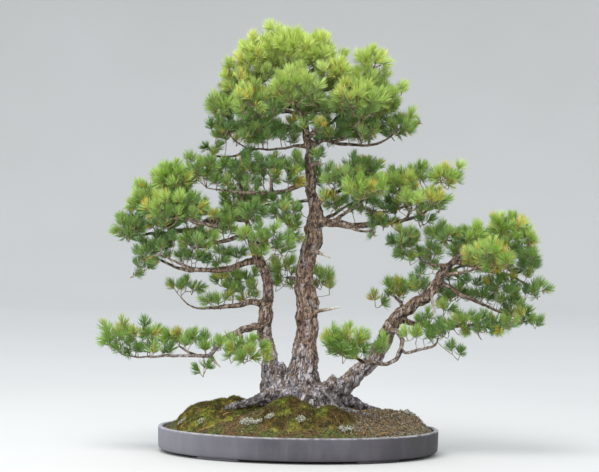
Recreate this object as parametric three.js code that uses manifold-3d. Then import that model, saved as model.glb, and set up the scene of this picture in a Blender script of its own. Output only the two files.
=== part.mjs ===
// A Japanese white pine bonsai with three trunks, planted in an oval tray. Millimetres, +Z up.
// The front of the tree faces -Y and +X is to its right. Places are measured from the middle of the
// tray on the surface it stands on; the last lines move the whole so that the middle of its box is
// the origin.

import * as THREE from 'three';
import { mergeVertices } from 'three/addons/utils/BufferGeometryUtils.js';
import Module from 'manifold-3d';

const wasm = await Module();
wasm.setup();

// Driving dimensions

const GAP = 0.35; // clear space left between pieces that touch

const TRAY_HALF_LENGTH = 280;
const TRAY_HALF_WIDTH = 200;
const TRAY_HEIGHT = 50;
const TRAY_WALL = 9;
const TRAY_SEGMENTS = 28;
const FOOT_HEIGHT = 5;
const FLOOR_THICKNESS = 6;
const DRAIN_RADIUS = 13;
const DRAIN_X = 130;

const SOIL_EDGE_HEIGHT = 43;
const SOIL_RISE = 36;

const NEEDLE_LENGTH = 33;
const BUD_RADIUS = 2.5;
const SIDE_TWIG_RADIUS = 1.1;
const STEM_RADIUS = 1.7;

// Shared helpers

function seeded(seed) {
  let state = seed;
  return () => {
    state = (state + 0x6d2b79f5) | 0;
    let t = Math.imul(state ^ (state >>> 15), 1 | state);
    t = (t + Math.imul(t ^ (t >>> 7), 61 | t)) ^ t;
    return ((t ^ (t >>> 14)) >>> 0) / 4294967296;
  };
}

function closed(geometry) {
  geometry.deleteAttribute('normal');
  geometry.deleteAttribute('uv');
  return mergeVertices(geometry);
}

function eachVertex(geometry, move) {
  const position = geometry.attributes.position;
  const point = new THREE.Vector3();
  for (let i = 0; i < position.count; i += 1) {
    point.fromBufferAttribute(position, i);
    move(point);
    position.setXYZ(i, point.x, point.y, point.z);
  }
  return geometry;
}

function solid(geometry) {
  return new wasm.Manifold(
    new wasm.Mesh({
      numProp: 3,
      vertProperties: new Float32Array(geometry.attributes.position.array),
      triVerts: new Uint32Array(geometry.index.array),
    }),
  );
}

function biggestPiece(body) {
  const pieces = body.decompose();
  return pieces.reduce((best, piece) => (piece.volume() > best.volume() ? piece : best));
}

function named(name, body, color, roughness, metalness = 0) {
  const mesh = body.getMesh();
  const geometry = new THREE.BufferGeometry();
  geometry.setAttribute('position', new THREE.BufferAttribute(mesh.vertProperties, 3));
  geometry.setIndex(new THREE.BufferAttribute(mesh.triVerts, 1));
  geometry.computeVertexNormals();
  const material = new THREE.MeshStandardMaterial({ color, roughness, metalness });
  const result = new THREE.Mesh(geometry, material);
  result.name = name;
  return result;
}

// A profile of [radius, height] points turned about the upright axis
function turned(profile, segments) {
  const points = profile.map(([radius, height]) => new THREE.Vector2(radius, height));
  return closed(new THREE.LatheGeometry(points, segments)).rotateX(Math.PI / 2);
}

function block(width, depth, height, x, y, z) {
  return solid(closed(new THREE.BoxGeometry(width, depth, height).translate(x, y, z)));
}

// Tray: an oval bowl of grey stoneware on four low feet, with two drain holes

const FLOOR_TOP = FOOT_HEIGHT + FLOOR_THICKNESS;

function makeTray() {
  const outside = TRAY_HALF_LENGTH;
  const inside = TRAY_HALF_LENGTH - TRAY_WALL;
  const profile = [
    [0, FOOT_HEIGHT],
    [outside - 8, FOOT_HEIGHT],
    [outside - 3, FOOT_HEIGHT + 4],
    [outside - 1, FOOT_HEIGHT + 11],
    [outside, TRAY_HEIGHT - 2],
    [outside - 1, TRAY_HEIGHT],
    [inside, TRAY_HEIGHT],
    [inside, FLOOR_TOP + 5],
    [inside - 5, FLOOR_TOP],
    [0, FLOOR_TOP],
  ];
  // the wall is equally thick all round, so the oval's two half axes shrink by the same amount
  const bowl = eachVertex(turned(profile, TRAY_SEGMENTS), (p) => {
    const radius = Math.hypot(p.x, p.y);
    if (radius > 1) {
      p.y *= (radius - TRAY_HALF_LENGTH + TRAY_HALF_WIDTH) / radius;
    }
  });
  const drains = [-DRAIN_X, DRAIN_X].map((x) => {
    const hole = new THREE.CylinderGeometry(DRAIN_RADIUS, DRAIN_RADIUS, 4 * FLOOR_THICKNESS, 12);
    return solid(closed(hole).rotateX(Math.PI / 2).translate(x, 0, FLOOR_TOP));
  });
  const tray = wasm.Manifold.union([solid(bowl), ...makeFeet()]);
  return tray.subtract(wasm.Manifold.union(drains));
}

function makeFeet() {
  const start = THREE.MathUtils.degToRad(44);
  const end = THREE.MathUtils.degToRad(65);
  const steps = 5;
  const shape = new THREE.Shape();
  for (const [inset, from, to] of [[9, start, end], [34, end, start]]) {
    for (let i = 0; i <= steps; i += 1) {
      const angle = from + ((to - from) * i) / steps;
      const x = (TRAY_HALF_LENGTH - inset) * Math.cos(angle);
      const y = (TRAY_HALF_WIDTH - inset) * Math.sin(angle);
      if (i === 0 && inset === 9) {
        shape.moveTo(x, y);
      } else {
        shape.lineTo(x, y);
      }
    }
  }
  const foot = new THREE.ExtrudeGeometry(shape, { depth: FOOT_HEIGHT + 1, bevelEnabled: false });
  return [0, 1, 2, 3].map((corner) => {
    const flip = corner % 2 === 1;
    const copy = solid(closed(foot.clone()));
    const placed = flip ? copy.mirror([1, 0, 0]) : copy;
    return corner < 2 ? placed : placed.rotate([0, 0, 180]);
  });
}

// Drain screens: a square of plastic mesh lying over each drain hole

const SCREEN_SIZE = 46;
const SCREEN_THICKNESS = 1.2;

function makeScreen(x) {
  const height = FLOOR_TOP + GAP + SCREEN_THICKNESS / 2;
  const pitch = 20;
  const opening = 16;
  const holes = [];
  for (const row of [-pitch / 2, pitch / 2]) {
    for (const column of [-pitch / 2, pitch / 2]) {
      holes.push(block(opening, opening, 2 * SCREEN_THICKNESS, x + column, row, height));
    }
  }
  const plate = block(SCREEN_SIZE, SCREEN_SIZE, SCREEN_THICKNESS, x, 0, height);
  return plate.subtract(wasm.Manifold.union(holes));
}

// Wood: three trunks from one base, with roots, branches and dead stubs, grown as one piece.
// Each limb is a line of points [x, y, z, radius] from its foot to its tip.

const TRUNKS = [
  [[8, 0, 60, 46], [8, 0, 110, 42], [8, 0, 145, 33], [9, 0, 180, 27], [13, 3, 240, 21.5],
    [12, 6, 304, 22], [6, 8, 350, 18], [14, 6, 392, 16.5], [25, 2, 450, 18], [27, 0, 480, 14.5],
    [20, -2, 515, 11.5], [15, -3, 560, 10.5], [13, -3, 600, 9.5], [5, -2, 640, 8.5], [-4, 0, 690, 7.2],
    [-15, 0, 740, 6], [-28, -3, 780, 4.8], [-28, -5, 812, 3]],
  [[-30, -4, 70, 34], [-52, -6, 120, 26], [-58, -8, 160, 17], [-60, -8, 200, 15], [-70, -9, 240, 14.5],
    [-71, -10, 272, 15], [-66, -9, 305, 12], [-65, -8, 335, 11], [-72, -8, 362, 10.5],
    [-84, -7, 384, 10.5], [-95, -6, 405, 8.5], [-102, -3, 435, 7], [-113, 2, 470, 6],
    [-121, 5, 510, 5], [-126, 5, 535, 3.5]],
  [[45, 2, 85, 30], [75, 2, 122, 21], [100, 3, 145, 18], [126, 4, 168, 16], [152, 5, 194, 16],
    [169, 6, 221, 15.5], [180, 6, 247, 15], [191, 5, 263, 15], [205, 4, 283, 13],
    [228, 3, 299, 12.5], [250, 2, 318, 12], [268, 0, 341, 11.5], [280, -1, 361, 10], [296, -2, 379, 8],
    [312, -2, 397, 6], [330, -2, 420, 4.5], [345, -1, 434, 3]],
];

const ROOTS = [
  [[-35, -28, 114, 18], [-66, -34, 112, 12], [-100, -40, 102, 9], [-128, -44, 94, 8],
    [-150, -46, 86, 6]],
  [[50, -18, 105, 20], [82, -30, 94, 11], [108, -36, 84, 8], [135, -40, 78, 6], [158, -42, 76, 4]],
  [[80, 8, 112, 18], [112, 18, 98, 11], [140, 26, 90, 8], [165, 32, 84, 5]],
  [[10, -32, 100, 26], [22, -58, 92, 12], [38, -78, 80, 6]],
  [[0, 30, 102, 24], [-8, 58, 92, 13], [-24, 84, 84, 8], [-40, 104, 78, 5]],
  [[-50, 20, 105, 18], [-82, 36, 94, 10], [-112, 48, 90, 6]],
];

const LEFT_BRANCHES = [
  [[-84, -8, 384, 8], [-120, -23, 373, 7.5], [-145, -34, 365, 7], [-172, -42, 361, 6.5],
    [-200, -49, 362, 5.5], [-226, -55, 368, 4.5], [-252, -57, 379, 3.5], [-278, -49, 390, 2.5]],
  [[-188, -47, 361, 4], [-220, -26, 360, 3.5], [-252, -5, 366, 3], [-280, 5, 378, 2.2]],
  [[-102, -4, 428, 5], [-125, -23, 430, 5], [-150, -36, 420, 4], [-180, -47, 412, 3.2],
    [-210, -55, 404, 2.2]],
  [[-112, 2, 462, 5], [-140, 8, 464, 7.5], [-168, 12, 462, 8], [-184, 12, 459, 7.5],
    [-202, 12, 449, 6.5], [-230, 8, 440, 5], [-262, 2, 434, 4], [-300, -4, 430, 3],
    [-332, -8, 428, 2.2]],
  [[-202, 12, 449, 5], [-232, 14, 468, 4.5], [-258, 21, 494, 4], [-278, 21, 522, 3]],
  [[-258, 21, 494, 3], [-286, 14, 492, 3], [-308, 10, 488, 2.2]],
  [[20, -2, 505, 4], [-15, -6, 500, 3], [-60, -12, 494, 2.8], [-90, -8, 485, 2.8], [-122, -2, 478, 3],
    [-150, 6, 468, 3.5]],
  [[16, -3, 545, 7], [-8, -8, 532, 6.5], [-30, -12, 522, 6], [-60, -23, 517, 5.5], [-92, -29, 515, 5],
    [-125, -31, 516, 4], [-155, -31, 520, 3.2], [-190, -26, 524, 2.4]],
  [[-60, -23, 517, 3.5], [-62, -34, 535, 3], [-62, -42, 548, 2.4]],
  [[-66, -9, 295, 9], [-95, -6, 298, 8], [-122, -2, 293, 6.5], [-150, 4, 288, 5.5],
    [-180, 8, 285, 4.5], [-204, 8, 283, 3.5], [-226, 8, 291, 2.8], [-240, 6, 306, 2.2]],
  [[-70, -10, 252, 9], [-95, -31, 250, 8.5], [-120, -44, 240, 8], [-146, -52, 228, 6.5],
    [-164, -52, 210, 5.5], [-176, -49, 194, 5], [-205, -47, 192, 4.5], [-260, -42, 191, 4],
    [-308, -36, 187, 3.2], [-345, -31, 189, 2.8], [-366, -29, 202, 2.2]],
  [[-200, -47, 192, 3], [-222, -44, 201, 2.6], [-238, -42, 211, 2]],
  [[-120, -44, 240, 4.5], [-112, -65, 222, 3.8], [-104, -81, 206, 2.6]],
  [[-100, -4, 425, 4], [-92, -36, 420, 3.4], [-80, -60, 414, 2.6]],
  [[-104, -4, 436, 4.5], [-150, -44, 446, 4], [-200, -75, 454, 3.5], [-240, -91, 464, 2.5]],
  [[-113, 2, 474, 4.5], [-122, 52, 478, 4], [-124, 94, 482, 3]],
  [[-122, 52, 478, 3.5], [-165, 86, 478, 3.2], [-205, 104, 476, 3], [-240, 112, 478, 2.4]],
  [[6, 12, 346, 5], [-12, 62, 345, 4], [-28, 96, 346, 2.8]],
];

const CROWN_BRANCHES = [
  [[12, -3, 610, 5.5], [-15, -4, 612, 4], [-42, -6, 606, 3.6], [-80, -8, 604, 3.4],
    [-112, -10, 606, 3.2], [-136, -10, 620, 3], [-152, -10, 642, 2.6], [-160, -9, 668, 2]],
  [[-112, -10, 606, 2.6], [-125, 0, 596, 2.4], [-150, 12, 588, 2.4], [-172, 23, 590, 2]],
  [[12, -3, 608, 6], [38, -2, 624, 5.2], [62, 0, 620, 4.6], [100, 4, 616, 4.2], [140, 6, 617, 3.8],
    [162, 4, 626, 3.4], [182, 0, 640, 3], [198, -4, 656, 2.2]],
  [[62, 0, 620, 3.5], [95, -36, 638, 3.4], [112, -65, 662, 2.6], [112, -75, 684, 2]],
  [[4, -2, 645, 5], [-30, 2, 652, 4.5], [-70, 6, 660, 4], [-110, 8, 680, 3.4], [-135, 10, 708, 2.6]],
  [[-10, 0, 715, 5], [20, 4, 722, 4.6], [50, 4, 728, 4], [90, 2, 740, 3.4], [125, 0, 760, 2.4]],
  [[50, 4, 728, 3.4], [85, 14, 712, 3], [120, 29, 702, 2.8], [145, 31, 700, 2.2]],
  [[-15, 0, 738, 4.5], [15, 8, 762, 3.6], [40, 10, 776, 2.6]],
  [[-16, 0, 742, 4.5], [-50, 0, 758, 3.8], [-90, 0, 768, 2.6]],
  [[2, -3, 655, 4.5], [-6, -49, 672, 3.8], [-14, -86, 690, 2.6]],
  [[-6, -2, 695, 4.5], [-45, -47, 688, 3.8], [-85, -78, 688, 2.6]],
  [[-2, 2, 680, 4.5], [-40, 57, 684, 3.8], [-80, 91, 694, 2.6]],
  [[2, 2, 658, 4.5], [6, 57, 676, 3.8], [2, 99, 696, 2.6]],
  [[8, 0, 632, 4.5], [48, 55, 658, 3.8], [78, 86, 682, 2.6]],
  [[8, -4, 628, 4], [18, -47, 632, 3.2], [26, -73, 638, 2.4]],
];

const RIGHT_BRANCHES = [
  [[26, 0, 468, 11], [46, -2, 461, 10], [66, -3, 456, 9], [92, -4, 454, 8], [122, -2, 456, 7],
    [150, 2, 461, 6.2], [182, 5, 463, 5.5], [204, 5, 467, 5], [230, 2, 476, 4.2], [252, -2, 488, 3.4],
    [268, -8, 500, 2.4]],
  [[60, -3, 460, 5.5], [80, -10, 475, 4.5], [100, -14, 489, 4.2], [124, -14, 489, 4],
    [150, -8, 483, 3.8], [172, -2, 484, 3.6], [192, 2, 491, 3.4], [214, 4, 500, 3.2], [240, 6, 520, 3],
    [268, 6, 542, 2.4]],
  [[192, 2, 491, 3], [196, 6, 510, 2.8], [196, 8, 528, 2.2]],
  [[100, -14, 489, 3.4], [112, -52, 496, 3], [118, -75, 506, 2.4]],
  [[24, -1, 492, 7], [48, -10, 512, 5], [64, -29, 528, 3]],
  [[48, -10, 512, 4], [84, 0, 530, 3.6], [114, 8, 552, 2.6]],
  [[25, 4, 455, 6], [66, 52, 478, 4.5], [106, 83, 504, 3]],
  [[66, -3, 459, 3.2], [120, -8, 444, 2.6], [142, -10, 446, 1.8]],
  [[204, 5, 467, 3], [212, -31, 480, 2.8], [216, -57, 492, 2.2]],
  [[296, -2, 379, 6], [270, -6, 379, 4], [248, -8, 382, 3.4], [232, -8, 398, 2.8], [218, -7, 414, 2]],
  [[302, -2, 384, 6], [330, -2, 384, 5.4], [362, -2, 372, 5], [392, 0, 365, 4.6], [420, 2, 362, 4],
    [444, 4, 370, 3]],
  [[362, -2, 372, 4], [376, 0, 400, 3.6], [390, 4, 428, 3], [396, 6, 448, 2.4]],
  [[420, 2, 362, 3], [444, -2, 346, 2.6], [462, -4, 336, 2]],
  [[277, -1, 358, 6], [312, -49, 364, 4.6], [345, -86, 376, 3]],
  [[277, 2, 360, 6], [312, 55, 370, 4.6], [338, 91, 382, 3]],
  [[270, 0, 348, 7], [285, -2, 342, 6], [308, -10, 327, 5.6], [332, -21, 315, 5.2],
    [354, -26, 306, 4.6], [376, -26, 296, 4], [408, -14, 284, 3.4], [434, -8, 276, 2.6]],
  [[192, 4, 272, 8], [215, 2, 265, 7], [246, -2, 258, 5.5], [282, -8, 257, 4.6], [322, -21, 259, 4],
    [350, -31, 263, 3]],
  [[172, -6, 250, 7], [192, -23, 244, 6], [203, -31, 228, 5.5], [201, -36, 212, 5],
    [212, -36, 205, 4.6], [240, -34, 211, 4.2], [268, -29, 222, 3.8], [276, -23, 240, 2.6]],
  [[201, -36, 211, 4.8], [190, -44, 192, 4.4], [174, -55, 184, 4.2], [150, -65, 186, 4],
    [126, -78, 189, 3.4], [108, -91, 196, 2.6]],
  [[210, 4, 288, 5], [204, 52, 300, 4], [192, 86, 312, 2.8]],
];

const DEAD_STUBS = [
  [[14, -6, 574, 6], [30, -8, 577, 2.8], [43, -8, 577, 1.4]],
  [[18, -2, 402, 6], [40, -10, 398, 3], [58, -12, 389, 1.4]],
  [[18, -2, 278, 7], [38, -10, 283, 3.8], [60, -12, 287, 3.1], [78, -13, 291, 1.6]],
  [[-176, -38, 192, 4], [-166, -46, 180, 2.4], [-156, -50, 171, 1.2]],
  [[266, -6, 338, 6], [262, -16, 312, 3], [266, -20, 292, 2.4], [274, -22, 276, 1.4]],
];

// Sides round a limb, the distance between its rings and the share by which its thickness wanders
const BASE_SHAPE = { sides: 8, spacing: 25, roughness: 0.1 };
const SHOULDER_SHAPE = { sides: 5, spacing: 45, roughness: 0.1 };
const ROOT_SHAPE = { sides: 6, spacing: 34, roughness: 0.15 };
const TRUNK_SHAPE = { sides: 8, spacing: 46, roughness: 0.14 };
const THICK_BRANCH_SHAPE = { sides: 5, spacing: 50, roughness: 0.08 };
const THIN_BRANCH_SHAPE = { sides: 4, spacing: 62, roughness: 0.08 };
const STUB_SHAPE = { sides: 4, spacing: 14, roughness: 0 };
const THICK_BRANCH = 5.2; // a branch that starts thicker than this is a thick one

// A round tapering bar along a smooth line, a little uneven in the same way each time it is made;
// grow makes the same bar thicker all round, for its hole
function limb(route, { sides, spacing, roughness }, grow = 0) {
  const curve = new THREE.CatmullRomCurve3(route.map(([x, y, z]) => new THREE.Vector3(x, y, z)));
  curve.curveType = 'centripetal';
  const steps = Math.max(2, Math.round(curve.getLength() / spacing));
  const frames = curve.computeFrenetFrames(steps);
  const bar = closed(new THREE.CylinderGeometry(1, 1, 1, sides, steps));
  const random = seeded(Math.round(7 * route[0][0] + 3 * route[0][1] + route[0][2]));
  return eachVertex(bar, (p) => {
    const step = Math.round((p.y + 0.5) * steps);
    const place = curve.getUtoTmapping(step / steps) * (route.length - 1);
    const before = Math.min(Math.floor(place), route.length - 2);
    const radius = THREE.MathUtils.lerp(route[before][3], route[before + 1][3], place - before);
    const swell = 1 + roughness * (random() - 0.5);
    const across = frames.normals[step].clone().multiplyScalar(p.x * (radius * swell + grow));
    const along = frames.binormals[step].clone().multiplyScalar(-p.z * (radius * swell + grow));
    p.copy(curve.getPointAt(step / steps)).add(across).add(along);
  });
}

// The foot of the tree, where the trunks and roots run together
const BASE = [[14, 0, 40, 60], [14, 0, 80, 68], [14, 0, 105, 62], [12, 0, 126, 44], [10, 0, 146, 22]];

// Swellings that fill the forks between the trunks just above the ground
const SHOULDERS = [
  [[-36, -6, 100, 34], [-40, -6, 128, 25], [-38, -6, 152, 17], [-34, -5, 176, 8]],
  [[-20, -22, 96, 28], [-18, -20, 122, 22], [-14, -18, 142, 14], [-10, -14, 158, 7]],
  [[52, 0, 96, 34], [60, -4, 118, 24], [64, -6, 138, 15], [68, -6, 153, 8]],
  [[40, -24, 92, 26], [42, -24, 112, 20], [40, -20, 128, 12]],
];

function makeStump(grow) {
  return [
    limb(BASE, BASE_SHAPE, grow),
    ...SHOULDERS.map((route) => limb(route, SHOULDER_SHAPE, grow)),
    ...ROOTS.map((route) => limb(route, ROOT_SHAPE, grow)),
    ...TRUNKS.map((route) => limb(route, TRUNK_SHAPE, grow)),
  ].map(solid);
}

function makeWood() {
  const branches = [...LEFT_BRANCHES, ...CROWN_BRANCHES, ...RIGHT_BRANCHES].map((route) => {
    return limb(route, route[0][3] > THICK_BRANCH ? THICK_BRANCH_SHAPE : THIN_BRANCH_SHAPE);
  });
  const stubs = DEAD_STUBS.map((route) => limb(route, STUB_SHAPE));
  return biggestPiece(wasm.Manifold.union([...makeStump(0), ...[...branches, ...stubs].map(solid)]));
}

// Ground: a mound of soil in the tray with an uneven top, and moss growing over it in mats

const SOIL_HALF_LENGTH = TRAY_HALF_LENGTH - TRAY_WALL - GAP;
const SOIL_HALF_WIDTH = TRAY_HALF_WIDTH - TRAY_WALL - GAP;

// Each hump of the ground is [x, y, height, spread along x, spread along y]
const HUMPS = [
  [-15, -58, 26, 50, 36],
  [86, -72, 9, 32, 30],
  [-130, 14, 18, 30, 40],
  [-214, -4, 14, 26, 40],
  [172, 20, 13, 50, 50],
  [238, 8, 18, 26, 40],
];

function groundHeight(x, y) {
  const rim = Math.min(1, Math.hypot(x / SOIL_HALF_LENGTH, y / SOIL_HALF_WIDTH));
  let hump = 0;
  for (const [hx, hy, height, sx, sy] of HUMPS) {
    hump += height * Math.exp(-(((x - hx) / sx) ** 2 + ((y - hy) / sy) ** 2) / 2);
  }
  return SOIL_EDGE_HEIGHT + SOIL_RISE * (1 - rim ** 4) + hump * (1 - rim ** 6);
}

// The ground's outline is drawn at full length and squeezed across; its top then takes the ground's shape
function makeGround() {
  const ringSizes = [0.92, 0.76, 0.56, 0.36];
  const random = seeded(5);
  const profile = [
    [0, FLOOR_TOP + GAP],
    [SOIL_HALF_LENGTH - 8, FLOOR_TOP + GAP],
    [SOIL_HALF_LENGTH, FLOOR_TOP + 5 + GAP],
    [SOIL_HALF_LENGTH, SOIL_EDGE_HEIGHT],
    ...ringSizes.map((size) => [SOIL_HALF_LENGTH * size, SOIL_EDGE_HEIGHT]),
    [0, SOIL_EDGE_HEIGHT],
  ];
  return eachVertex(turned(profile, TRAY_SEGMENTS), (p) => {
    p.y *= SOIL_HALF_WIDTH / SOIL_HALF_LENGTH;
    if (p.z > SOIL_EDGE_HEIGHT - 1) {
      p.z = groundHeight(p.x, p.y) + 3 * (random() - 0.5);
    }
  });
}

// Each mat of moss is [name, x, y, half length, half width, thickness, colour]
const MOSS_MATS = [
  ['moss_mat_left', -168, -22, 84, 92, 9, 0x6f7a2c],
  ['moss_mat_front', 8, -104, 92, 60, 8, 0x5f5a20],
  ['moss_mat_back', 30, 118, 120, 44, 8, 0x5c6426],
];

function makeMossMat(x, y, halfLength, halfWidth, thickness) {
  const random = seeded(Math.round(Math.abs(x) + Math.abs(y)));
  const rings = [1, 0.55];
  const profile = [[0, 0], [1, 0], ...rings.map((size) => [size, 1]), [0, 1]];
  return eachVertex(turned(profile, 12), (p) => {
    const size = Math.hypot(p.x, p.y);
    const wander = 1 + 0.1 * Math.sin(3 * Math.atan2(p.y, p.x) + x);
    const top = p.z > 0.5;
    p.x = x + p.x * halfLength * wander;
    p.y = y + p.y * halfWidth * wander;
    const ground = groundHeight(p.x, p.y);
    p.z = top ? ground + 2 + thickness * Math.sqrt(Math.max(0, 1 - size ** 2)) + 2 * random() : ground - 20;
  });
}

// Foliage: shoots of needles on slim twigs. A shoot is a turned twig that ends in a bud, and each face of
// the bud is drawn out to a needle, whose point stays inside the face's own cone from the bud's middle, so
// that no two needles of a bud can meet.

const BUD_RINGS = [114, 52]; // angles from the shoot's tip, in degrees
const BUD_SIDES = 4;

function makeTwigAndBud(length) {
  const ring = (degrees) => {
    const angle = THREE.MathUtils.degToRad(degrees);
    return [BUD_RADIUS * Math.sin(angle), length + BUD_RADIUS * Math.cos(angle)];
  };
  const profile = [
    [0, 0],
    [SIDE_TWIG_RADIUS, 0],
    ...BUD_RINGS.map(ring),
    [0, length + BUD_RADIUS],
  ];
  const points = profile.map(([radius, height]) => new THREE.Vector2(radius, height));
  return closed(new THREE.LatheGeometry(points, BUD_SIDES)).translate(0, -length, 0);
}

// Shortest distance between two straight lines from a to b and from c to d
function lineDistance(a, b, c, d) {
  const u = b.clone().sub(a);
  const v = d.clone().sub(c);
  const w = a.clone().sub(c);
  const uu = u.dot(u);
  const uv = u.dot(v);
  const vv = v.dot(v);
  const uw = u.dot(w);
  const vw = v.dot(w);
  const across = uu * vv - uv * uv;
  const clamp = THREE.MathUtils.clamp;
  let s = across > 1e-9 ? clamp((uv * vw - vv * uw) / across, 0, 1) : 0;
  const t = clamp((uv * s + vw) / vv, 0, 1);
  s = clamp((uv * t - uw) / uu, 0, 1);
  return w.addScaledVector(u, s).addScaledVector(v, -t).length();
}

// Everything that a needle has to pass, as straight bars { from, to, radius, owner }
const obstacles = [];

function addObstacle(from, to, radius, owner) {
  const middle = from.clone().add(to).multiplyScalar(0.5);
  obstacles.push({ from, to, radius, owner, middle, reach: from.distanceTo(to) / 2 });
}

function isClear(from, to, radius, owner) {
  const middle = from.clone().add(to).multiplyScalar(0.5);
  const reach = from.distanceTo(to) / 2;
  return obstacles.every((bar) => {
    if (bar.owner === owner) {
      return true;
    }
    const room = radius + bar.radius + GAP;
    if (middle.distanceTo(bar.middle) > reach + bar.reach + room) {
      return true;
    }
    return lineDistance(from, to, bar.from, bar.to) > room;
  });
}

function drawNeedles(bud, place, turn, owner, random, needles) {
  const position = bud.attributes.position;
  const index = Array.from(bud.index.array);
  const corner = (i) => new THREE.Vector3().fromBufferAttribute(position, i);
  const points = Array.from(position.array);
  const faces = [];
  const slots = [];
  for (let i = 0; i < index.length; i += 3) {
    const face = index.slice(i, i + 3);
    const middle = face.map(corner).reduce((sum, p) => sum.add(p)).multiplyScalar(1 / 3);
    faces.push(face);
    const tipAngle = THREE.MathUtils.radToDeg(Math.acos(middle.clone().normalize().y));
    const onBud = Math.abs(middle.y) < BUD_RADIUS && tipAngle < BUD_RINGS[0];
    if (onBud) {
      slots.push([faces.length - 1, tipAngle]);
    }
  }
  slots.sort((a, b) => a[1] - b[1]);
  const drawn = new Map();
  for (const [face] of slots.slice(0, needles)) {
    for (let attempt = 0; attempt < 9 && !drawn.has(face); attempt += 1) {
      const shares = [0.7 + random(), 0.7 + random(), 0.7 + random()];
      const length = NEEDLE_LENGTH * (0.9 + 0.2 * random()) * (attempt < 5 ? 1 : 0.75);
      const tip = new THREE.Vector3();
      faces[face].forEach((vertex, k) => tip.addScaledVector(corner(vertex), shares[k]));
      tip.setLength(length);
      const worldTip = tip.clone().applyQuaternion(turn).add(place);
      const worldFoot = tip.clone().setLength(BUD_RADIUS).applyQuaternion(turn).add(place);
      if (isClear(worldFoot, worldTip, 0.8, owner)) {
        drawn.set(face, points.length / 3);
        points.push(tip.x, tip.y, tip.z);
        addObstacle(worldFoot, worldTip, 0.8, owner);
      }
    }
  }
  const triangles = faces.flatMap((face, i) => {
    if (!drawn.has(i)) {
      return face;
    }
    const tip = drawn.get(i);
    const [a, b, c] = face;
    return [a, b, tip, b, c, tip, c, a, tip];
  });
  const geometry = new THREE.BufferGeometry();
  geometry.setAttribute('position', new THREE.Float32BufferAttribute(points, 3));
  geometry.setIndex(triangles);
  return geometry.applyQuaternion(turn).translate(place.x, place.y, place.z);
}

// Each spray is [name, [x, y, z] of its middle, [half sizes], shoots, [more shoot tips]]
const SPRAYS = [
  ['crown_top', [-12, 5, 812], [38, 34, 12], 3, [[-66, -5, 834]]],
  ['crown_top_right', [52, 10, 796], [26, 30, 14], 3],
  ['crown_top_left', [-112, 0, 786], [28, 30, 16], 3],
  ['crown_left_shoulder', [-144, 10, 738], [22, 36, 16], 3],
  ['crown_left_tip', [-168, -8, 692], [16, 34, 18], 3],
  ['crown_left_front', [-102, -91, 706], [36, 26, 22], 3],
  ['crown_left_back', [-98, 107, 714], [38, 26, 22], 2],
  ['crown_front', [-20, -104, 728], [40, 24, 28], 3, [[30, -91, 652]]],
  ['crown_right_top', [138, 0, 784], [24, 26, 12], 3],
  ['crown_right_front', [104, -91, 708], [40, 26, 26], 3],
  ['crown_right', [162, 29, 716], [24, 32, 16], 2, [[214, -8, 684]]],
  ['crown_back', [0, 120, 728], [44, 26, 30], 3],
  ['crown_right_back', [94, 109, 708], [38, 24, 20], 2],
  ['left_tip', [-348, -8, 440], [18, 30, 14], 3],
  ['left_upper', [-322, 6, 498], [18, 32, 16], 3],
  ['left_shoulder', [-282, 12, 546], [24, 32, 14], 3],
  ['left_top', [-224, -8, 552], [24, 28, 12], 2],
  ['left_riser', [-186, 26, 604], [18, 10, 6], 2],
  ['left_front', [-254, -99, 484], [40, 26, 22], 3],
  ['left_back', [-250, 120, 492], [40, 26, 22], 3],
  ['left_low', [-304, -31, 394], [20, 28, 20], 3],
  ['left_low_front', [-214, -65, 420], [32, 26, 12], 2],
  ['left_inner_top', [-142, -10, 560], [30, 28, 12], 2],
  ['left_inner', [-62, -47, 562], [26, 22, 14], 3],
  ['left_inner_front', [-70, -75, 426], [38, 18, 12], 3],
  ['left_middle', [-40, -49, 476], [20, 16, 10], 2],
  ['left_inner_back', [-122, 114, 498], [34, 24, 20], 2],
  ['left_hanger', [-218, 10, 322], [56, 18, 12], 3],
  ['behind_trunks', [-36, 109, 360], [24, 18, 14], 2],
  ['right_inner', [72, -36, 550], [22, 24, 14], 2],
  ['right_inner_top', [126, 10, 576], [28, 28, 14], 3],
  ['right_front', [120, -91, 526], [34, 22, 14], 2, [[146, -14, 452]]],
  ['right_back', [128, 101, 530], [34, 24, 16], 2],
  ['right_middle', [196, 10, 548], [28, 32, 14], 3],
  ['right_tip', [290, 4, 562], [24, 28, 12], 3],
  ['right_low', [250, -47, 510], [44, 30, 12], 3],
  ['lower_left_wing', [206, -6, 436], [22, 24, 10], 2],
  ['lower_shoulder', [286, -21, 442], [26, 28, 14], 2],
  ['lower_top', [348, 4, 444], [22, 28, 12], 2],
  ['lower_peak', [404, 6, 462], [24, 28, 12], 2, [[446, 0, 446]]],
  ['lower_right', [454, 4, 388], [16, 30, 24], 3, [[478, -4, 346]]],
  ['lower_front', [364, -104, 396], [40, 24, 20], 3],
  ['lower_back', [354, 114, 400], [40, 24, 20], 3],
  ['lower_skirt_tip', [450, -6, 282], [18, 20, 8], 2],
  ['lower_skirt', [352, -36, 274], [54, 22, 12], 3],
  ['lower_skirt_inner', [284, -12, 258], [20, 18, 8], 2, [[318, -23, 212]]],
  ['behind_right_trunk', [186, 107, 330], [32, 20, 14], 2],
  ['low_left_tip', [-364, -26, 228], [20, 24, 14], 3],
  ['low_left_middle', [-300, -32, 236], [24, 24, 12], 3],
  ['low_left_inner', [-226, -39, 226], [30, 24, 12], 3, [[-202, -47, 166]]],
  ['low_left_front', [-102, -88, 214], [40, 22, 14], 3],
  ['right_dome', [94, -112, 230], [36, 26, 16], 3, [[168, -91, 216]]],
];

const STEM_START = 5; // how far a stem leaves the bark squarely before it turns to its shoots
const UP = new THREE.Vector3(0, 1, 0); // the axis that a shoot is turned about

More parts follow.
